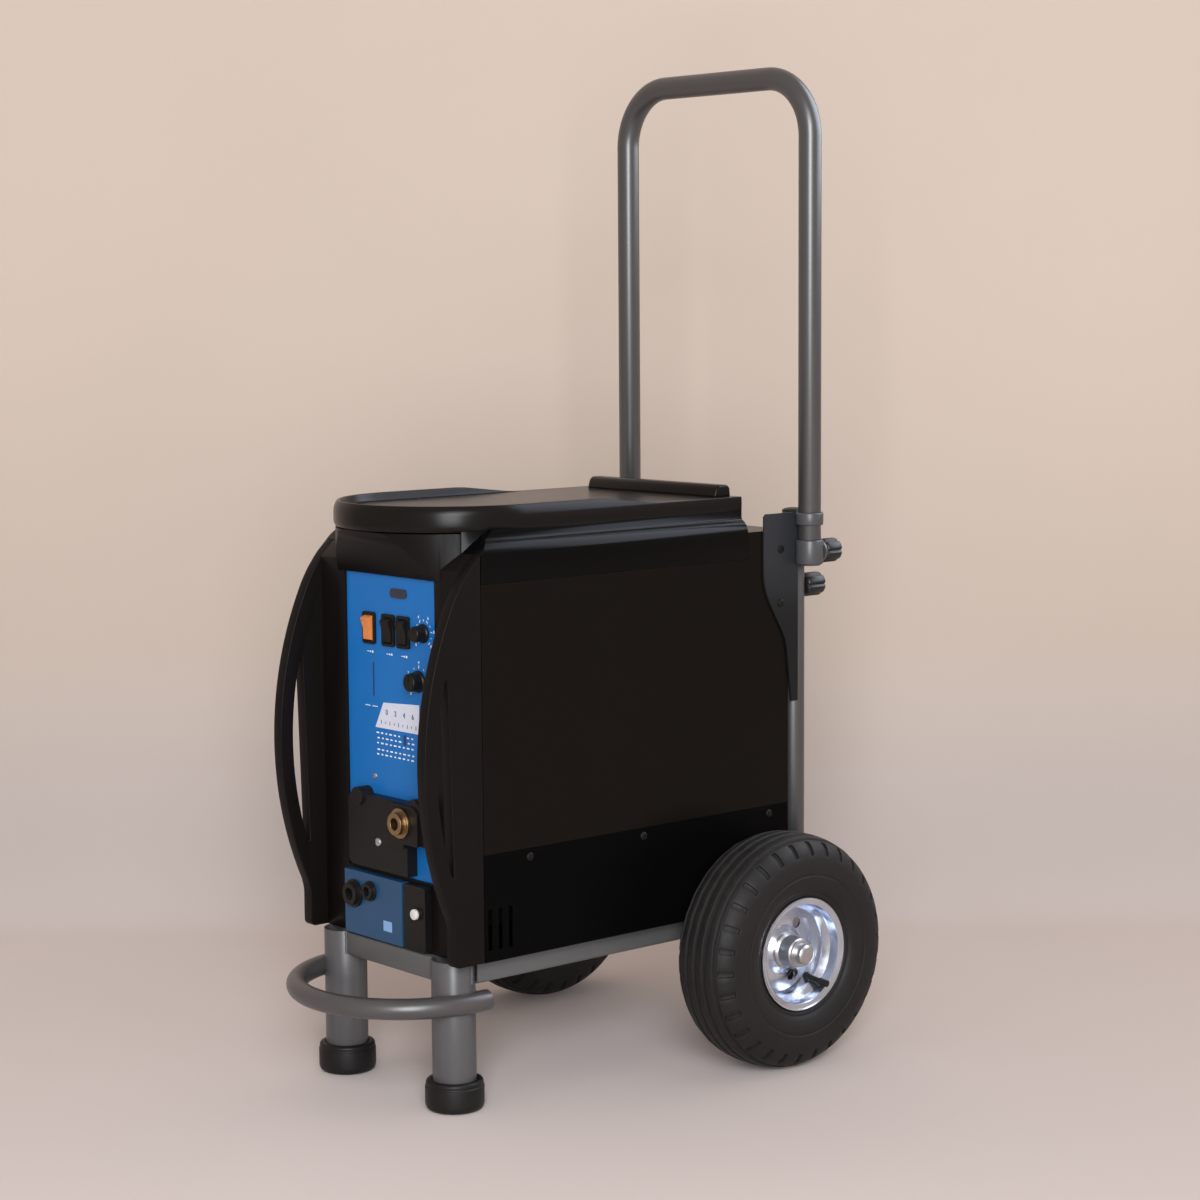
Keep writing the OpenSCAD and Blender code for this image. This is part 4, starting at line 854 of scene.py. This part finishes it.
def makeBumper():
    reach, y, z, radius = tubeSet["bumper"]
    end = tubeSet["bumperEnd"]
    bar = startRing("bumperSkin", (reach, y + end, z), radius, 40, (radians(90), 0, 0))
    bpy.ops.mesh.edge_face_add()
    extrudeBy(0, -end, 0)
    spinRing(180, (0, y, z), (0, 0, 1), 60)
    extrudeBy(0, end, 0)
    closeMesh()
    return soften(bar, 1, 3, corner=60, smooth=40)


def makePost():
    tube = startRing("postSkin", (*tubeSet["post"], tubeSet["deck"]), tubeSet["radius"])
    extrudeBy(0, 0, tubeSet["postTop"] - tubeSet["deck"])
    return endRing(tube)


def makeGuide():
    x, y = tubeSet["handle"]
    bore, outer = tubeSet["radius"] + 0.12, tubeSet["collar"]
    clamp, top = tubeSet["clamp"], tubeSet["postTop"]
    end = tubeSet["boss"] - y
    rings = []
    for low, high in ((clamp - 13.5, clamp + 13.5), (top - 14, top)):
        profile = [(low, bore + 0.5), (low, outer - 1.2), (low + 0.5, outer - 0.4), (low + 1.4, outer),
            (high - 1.4, outer), (high - 0.5, outer - 0.4), (high, outer - 1.2), (high, bore + 0.5),
            (high - 0.6, bore), (low + 0.6, bore)]
        rings.append(addTurned("ring", profile, (x, y, 0), (0, 0, 1), 64, closed=True))
    boss = [(13.5, 4.4), (13.5, 12.2), (16, 12.5), (end - 1, 12.5), (end - 0.3, 12.2), (end, 11.5),
        (end, 4.4)]
    rings.append(addTurned("boss", boss, (x, y, clamp), (0, 1, 0), 56, closed=True))
    stop = [(13.5, 0.5), (13.5, 3.4), (18, 3.4), (18.6, 2.6), (18.7, 0.5)]
    rings.append(addTurned("stop", stop, (x, y, top - 7), (0, 1, 0), 32))
    for ring in rings:
        soften(ring, 0, smooth=45)
    seams = [(x - 12.7, y + side, z + 2.6 * i) for z, count in ((clamp - 12, 9), (top - 12.4, 5))
        for i in range(count + 1) for side in (-5.2, 5.2)]
    return joinUp("guideSkin", rings + [addBead(seams, 2.2)])


def makePostCap():
    rises = ((-9, 3), (-9, 10.5), (0.1, 10.5), (0.1, 12.4), (1.2, 12.6), (2.4, 11.6), (3.4, 9), (4.1, 5),
        (4.3, 1))
    profile = [(tubeSet["postTop"] + rise, radius) for rise, radius in rises]
    return soften(addTurned("capSkin", profile, (*tubeSet["post"], 0), (0, 0, 1), 48), 0, smooth=50)


knobSet = {"radius": 13.5, "grips": 6, "dip": 2.1, "far": 139.2, "stud": 3.95, "root": 3.35, "pitch": 1.6,
    "clamp": {"x": 151, "z": 553, "near": 116.3, "studEnd": 112.1},
    "hold": {"x": 125.2, "z": 513, "near": 112.1, "studEnd": 70.2}}


def makeKnob(kind, sign):
    # A six-grip star knob with its threaded stud.
    x, z, near, studEnd = knobSet[kind].values()
    x, far, stud, root = sign * x, knobSet["far"], knobSet["stud"], knobSet["root"]
    depth = far - near
    rings = [(0, 0.78), (1, 0.93), (3, 1), (depth - 4, 1), (depth - 1.6, 0.965), (depth - 0.5, 0.9),
        (depth, 0.8)]
    clearSelection()
    bpy.ops.mesh.primitive_circle_add(vertices=120, radius=0.01)
    knob = named(kind + "Skin")
    for i, vertex in enumerate(knob.data.vertices):
        dip = knobSet["dip"] * max(0, cos(radians(knobSet["grips"] * 3 * i))) ** 3
        a, b = onCircle(knobSet["radius"] - 0.1 - dip, 3 * i, x, z)
        vertex.co = toRow(a, near, b)
    openMesh(knob)
    bpy.ops.transform.resize(value=(rings[0][1],) * 3, center_override=toRow(x, near, z))
    bpy.ops.mesh.edge_face_add()
    for (h0, s0), (h1, s1) in zip(rings, rings[1:]):
        extrudeBy(0, h1 - h0, 0)
        bpy.ops.transform.resize(value=(s1 / s0, 1, s1 / s0), center_override=toRow(x, near + h1, z))
    # The middle of the end face is dished.
    bpy.ops.mesh.inset(thickness=0.0035)
    extrudeBy(0, -1.2, 0)
    bpy.ops.transform.resize(value=(0.85, 1, 0.85), center_override=toRow(x, far, z))
    closeMesh()
    soften(knob, 0, smooth=48)
    level = studEnd + 0.8
    thread = [(studEnd, 0.5), (studEnd, 3.2), (level, stud)]
    while level < near - 1:
        thread += [(level + 0.5, root), (level + 1.1, root), (level + knobSet["pitch"], stud)]
        level += knobSet["pitch"]
    rod = addTurned("stud", thread + [(near + 0.5, stud)], (x, 0, z), (0, 1, 0), 28)
    return joinUp(kind + "Skin", [knob, soften(rod, 0, smooth=20)])


dress(makeHandle(), "handle", "frame_grey", tubeGloss, "handle_tube")
print("handle ready")
dress(makeRails(), "cart", "frame_grey", railGrey, "rail_left", "rail_right", "rail_front", "rail_rear")
for make, part, slotName, material in (
        (makeLeg, "leg", "leg_grey", legGrey), (makeFoot, "foot", "foot_rubber", footRubber),
        (makePost, "post", "frame_grey", tubeGloss), (makeGuide, "guide", "frame_grey", guideGrey)):
    dressPair(make(), part + "Twin", ("cart", "cart"), slotName, material, part)
cap = makePostCap()
dress(joinUp("capSkin", [cap, mirrored(cap, "capTwin")]), "cart", "knob_black", knobBlack, "post_caps")
dress(makeBumper(), "cart", "frame_grey", bumperGrey, "bumper_bar")
for sign, side in ((-1, "left"), (1, "right")):
    for kind in ("clamp", "hold"):
        knobName = kind + "_knob_" + side
        dress(makeKnob(kind, sign), knobName, "knob_black", knobBlack, knobName)
print("frame ready")

detailSet = {"plate": ((-31, 386), (46, 386.5), (46.5, 417.5), (-16, 413.5)), "panel": -366.8, "block": -380,
    "ticks": {"from": -20, "step": 7.6, "row": 392.5}, "numerals": {"from": -10, "step": 15.2, "row": 403.5},
    "mark": (21, 377.5, 4.6, 11), "legendFrom": -27, "legendRows": (380.5, 375, 369.5, 362.5, 357.5),
    "button": {"place": (56.5, 200.9), "from": -381, "to": -386.6, "radius": 5.6},
    "blockScrew": (-10.7, 266.7), "panelScrew": (-32.6, 333.3), "paintedHighlight": (3.2, 178.2, 15, 11)}


def makeScalePlate():
    face = detailSet["panel"]
    return addPrism("scalePlate", detailSet["plate"], "y", face - 0.25, face + 0.2)


def makeScale():
    face, ticks, numerals = detailSet["panel"] - 0.45, detailSet["ticks"], detailSet["numerals"]
    pieces = [addMark(ticks["from"] + ticks["step"] * i, ticks["row"], 0.8, 2.6 if i % 2 else 4.2, face)
        for i in range(9)]
    pieces += [addNumeral(str(2 * i), numerals["from"] + numerals["step"] * i, numerals["row"], 8, face)
        for i in range(4)]
    pieces.append(addMark(*detailSet["mark"], detailSet["panel"] - 0.2))
    return joinUp("scaleMarks", pieces)


def makeLegend():
    # Rows of plain dashes under the scale, which leave the dark mark free.
    face, mark = detailSet["panel"] - 0.25, detailSet["mark"][0]
    pieces = []
    for row, high in enumerate(detailSet["legendRows"]):
        for i in range(9):
            across = detailSet["legendFrom"] + detailSet["ticks"]["step"] * i + 1.3 * (row % 2)
            if abs(across - mark) > 5 or high < 370:
                pieces.append(addMark(across, high, 4.4 - 0.9 * ((i + row) % 3), 1.5, face))
    return joinUp("legendMarks", pieces)


def addScrew(across, high, face, radius=4.6):
    start, end, half = (across, face + 0.5, high), (across, face - 1.6, high), radius + 1
    head = addRod("screwHead", start, end, radius, 40, tip=radius * 0.86)
    slot = addBox("slot", (across - half, face - 2.4, high - 0.6), (across + half, face - 0.9, high + 0.6))
    return soften(cut(head, slot), 0.3, 2)


def makeButton():
    button = detailSet["button"]
    across, high = button["place"]
    cap = addRod("breakerCap", (across, button["from"], high), (across, button["to"], high),
        button["radius"], 48)
    return soften(cap, 1.2, 3)


for make, material in ((makeScalePlate, platePale), (makeScale, inkAndShadeBlue), (makeLegend, printWhite)):
    dress(make(), "cart", "panel_blue", material)
# The breaker cap is a real button whose pale colour is a painted highlight.
dress(makeButton(), "cart", "block_black", buttonHighlightPale)
screws = [addScrew(*detailSet["blockScrew"], detailSet["block"]),
    addScrew(*detailSet["panelScrew"], detailSet["panel"], 3.2)]
dress(joinUp("panelScrews", screws), "cart", "axle_steel", sinkAluminium)
# A paler blue mark on the lower panel is a painted highlight.
dress(addMark(*detailSet["paintedHighlight"], detailSet["block"] - 0.2), "cart", "panel_blue", paintedHighlightBlue)
print("details ready")

black = ("block_black", blockBlack)
cadSkins = (  # each node's slot and material, and the width that its edges are softened by
    ("case_black", trayBlack, {"base_tray": 0.6}), ("case_black", caseBlack, {"case_wrap": 0.6}),
    ("screw_dark", screwDark, {"case_screws": 0}),
    ("frame_grey", plateGrey, {"gusset_left": 0.6, "gusset_right": 0.6}),
    ("axle_steel", axleSteel, {"axle_rod": 0.8, "axle_fittings": 0.6}),
    ("panel_blue", panelBlue, {"control_panel": 0.3}), ("panel_blue", lowerBlue, {"lower_panel": 1.2}),
    (*black, {"torch_block": 1.2}), ("brass", brassTurned, {"torch_socket": 0.5}),
    (*black, {"work_socket": 0.5, "remote_socket": 0.5, "breaker_box": 0.8}),
    ("lens_dark", lensDark, {"display_lens": 0.3}), (*black, {"switch_frames": 0.5}),
    ("rocker_amber", rockerAmber, {"power_rocker": 0.5}),
    (*black, {"gas_rocker": 0.5, "mode_rocker": 0.5}),
    (*black, {"current_dial": 0.4, "pressure_dial": 0.4}),
    ("guard_steel", guardSteel, {"fan_guard": 0}), ("brass", brassTurned, {"air_inlet": 0.4}),
    (*black, {"cable_gland": 0.5}))
for slotName, material, widths in cadSkins:
    for node, width in widths.items():  # a rocker or dial is its own body, and the rest is the cart's
        body = node if node.endswith(("_rocker", "_dial")) else "cart"
        dress(fromCad(node, width), body, slotName, material, node)
print("skins ready")

for node, material in (("rear_panel", caseBlack), ("fan_frame", fanBlack), ("fan_rotor", fanBlack),
        ("divider", innerZinc), ("transformer", coreVarnish), ("heat_sink", sinkAluminium),
        ("circuit_board", boardGreen)):
    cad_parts[node].data.materials.clear()
    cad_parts[node].data.materials.append(material)

stageSet = {"floor": (0.69, 0.62, 0.605), "wall": (0.562, 0.472, 0.408), "distance": 0.8, "bend": 0.34,
    "bendShade": 0.26, "fade": (1.3, 2.3), "reach": 7.0, "height": 5.0, "drop": 0.0003,
    "wallPaintedShade": (0.25, 0.9, 0.9, 1.0), "mottle": (0.3, 0.7, 0.97, 1.02), "mottleScale": 1.3,
    "air": (1.0, 0.9, 0.81, 1), "airStrength": 0.53}


def paperMaterial():
    material = bpy.data.materials.new("studioPaper")
    material.use_nodes = True
    tree = material.node_tree
    shader = tree.nodes["Principled BSDF"]
    place = addNode(tree, "TexCoord").outputs["Object"]
    height = addNode(tree, "SeparateXYZ", {0: place}).outputs["Z"]
    # The wall's colour is painted a little deeper towards its foot, as painted shade.
    wall = scaled(tree, stageSet["wall"], spanned(tree, height, *stageSet["wallPaintedShade"], "SMOOTHSTEP"))
    mottle = addNode(tree, "TexNoise", {"Vector": place, "Scale": stageSet["mottleScale"], "Detail": 3})
    shade = spanned(tree, mottle.outputs["Fac"], *stageSet["mottle"])
    facing = addNode(tree, "NewGeometry").outputs
    level = addNode(tree, "SeparateXYZ", {0: facing["Normal"]}).outputs["Z"]
    # The paper's level part takes the floor's colour, its upright part the wall's.
    paper = mixed(tree, level, wall, (*stageSet["floor"], 1))
    # The bend faces the lamps most squarely, so its colour is a little deeper.
    hump = calc(tree, "SINE", calc(tree, "MULTIPLY", calc(tree, "ARCCOSINE", level), 2.0))
    deeper = calc(tree, "MULTIPLY_ADD", hump, -stageSet["bendShade"], 1.0)
    tone = scaled(tree, paper, calc(tree, "MULTIPLY", shade, deeper))
    fill(tree, shader, {"Base Color": tone, "Roughness": 0.85, "Specular IOR Level": 0.1})
    # The paper is clear from behind, and fades out ahead of the unit before it nears the lamps.
    az = radians(cameraSet["azimuth"])
    forward = (sin(az), -cos(az), 0)
    ahead = addNode(tree, "VectorMath", {0: place, 1: forward}, operation="DOT_PRODUCT")
    fade = spanned(tree, ahead.outputs["Value"], *stageSet["fade"], how="SMOOTHSTEP")
    share = calc(tree, "MAXIMUM", fade, facing["Backfacing"])
    clear = addNode(tree, "BsdfTransparent").outputs[0]
    blend = addNode(tree, "MixShader", {"Fac": share, 1: shader.outputs[0], 2: clear})
    tree.links.new(blend.outputs[0], tree.nodes["Material Output"].inputs["Surface"])
    return material


def makeStage():
    # A sheet of paper that runs over the floor and curves up behind the unit, in metres.
    reach, distance = stageSet["reach"], stageSet["distance"]
    clearSelection()
    bpy.ops.mesh.primitive_plane_add(size=1)
    paper = named("studioPaper")
    openMesh(paper)
    bpy.ops.transform.resize(value=(2 * reach, reach + distance, 1))
    bpy.ops.transform.translate(value=(0, (distance - reach) / 2, 0))
    bpy.ops.mesh.select_mode(type="EDGE")
    bpy.ops.mesh.select_all(action="DESELECT")
    closeMesh(turnOut=False)
    for edge in paper.data.edges:
        edge.select = all(paper.data.vertices[v].co.y > 0 for v in edge.vertices)
    bpy.ops.object.mode_set(mode="EDIT")
    extrudeBy(0, 0, 1000 * stageSet["height"])
    closeMesh(turnOut=False)
    soften(paper, 1000 * stageSet["bend"], 24, smooth=60)
    paper.rotation_euler = (0, 0, radians(cameraSet["azimuth"]))
    paper.location = toRow(0, 0, 0) - Vector((0, 0, stageSet["drop"]))
    settle(paper)
    paper.data.materials.append(paperMaterial())


def makeWorld():
    world = bpy.data.worlds.new("studioAir")
    world.use_nodes = True
    bpy.context.scene.world = world
    tree = world.node_tree
    fill(tree, tree.nodes["Background"], {"Color": stageSet["air"], "Strength": stageSet["airStrength"]})


# Places and sizes are in metres. The sheen panel shows only in reflections.
lamps = {
    "frontStrip": {"place": (3.3, -2.75, 1.3), "aim": (0, 0, 0.6), "size": (1.35, 2.4), "power": 166},
    "sideFill": {"place": (4.2, -2.8, 3.05), "aim": (0, 0, 0.4), "size": (2.4, 2.4), "power": 103,
        "shape": "DISK"},
    "sheenPanel": {"place": (1.0, 1.47, 2.1), "aim": (1.0, 0, 2.1), "size": (2.2, 2.2), "power": 76,
        "tone": (0.76, 0.84, 1.0), "diffuse": False}}


def addLamp(name, place, aim, size, power, shape="RECTANGLE", tone=(0.93, 0.96, 1.0), diffuse=True):
    bpy.ops.object.light_add(type="AREA", location=place)
    lamp = named(name)
    lamp.data.shape = shape
    lamp.data.size, lamp.data.size_y = size
    lamp.data.energy = power
    lamp.data.color = tone
    lamp.visible_camera = False
    lamp.visible_diffuse = diffuse
    lamp.rotation_euler = (Vector(aim) - Vector(place)).to_track_quat("-Z", "Y").to_euler()


makeStage()
makeWorld()
for name, lamp in lamps.items():
    addLamp(name, **lamp)
print("stage ready")
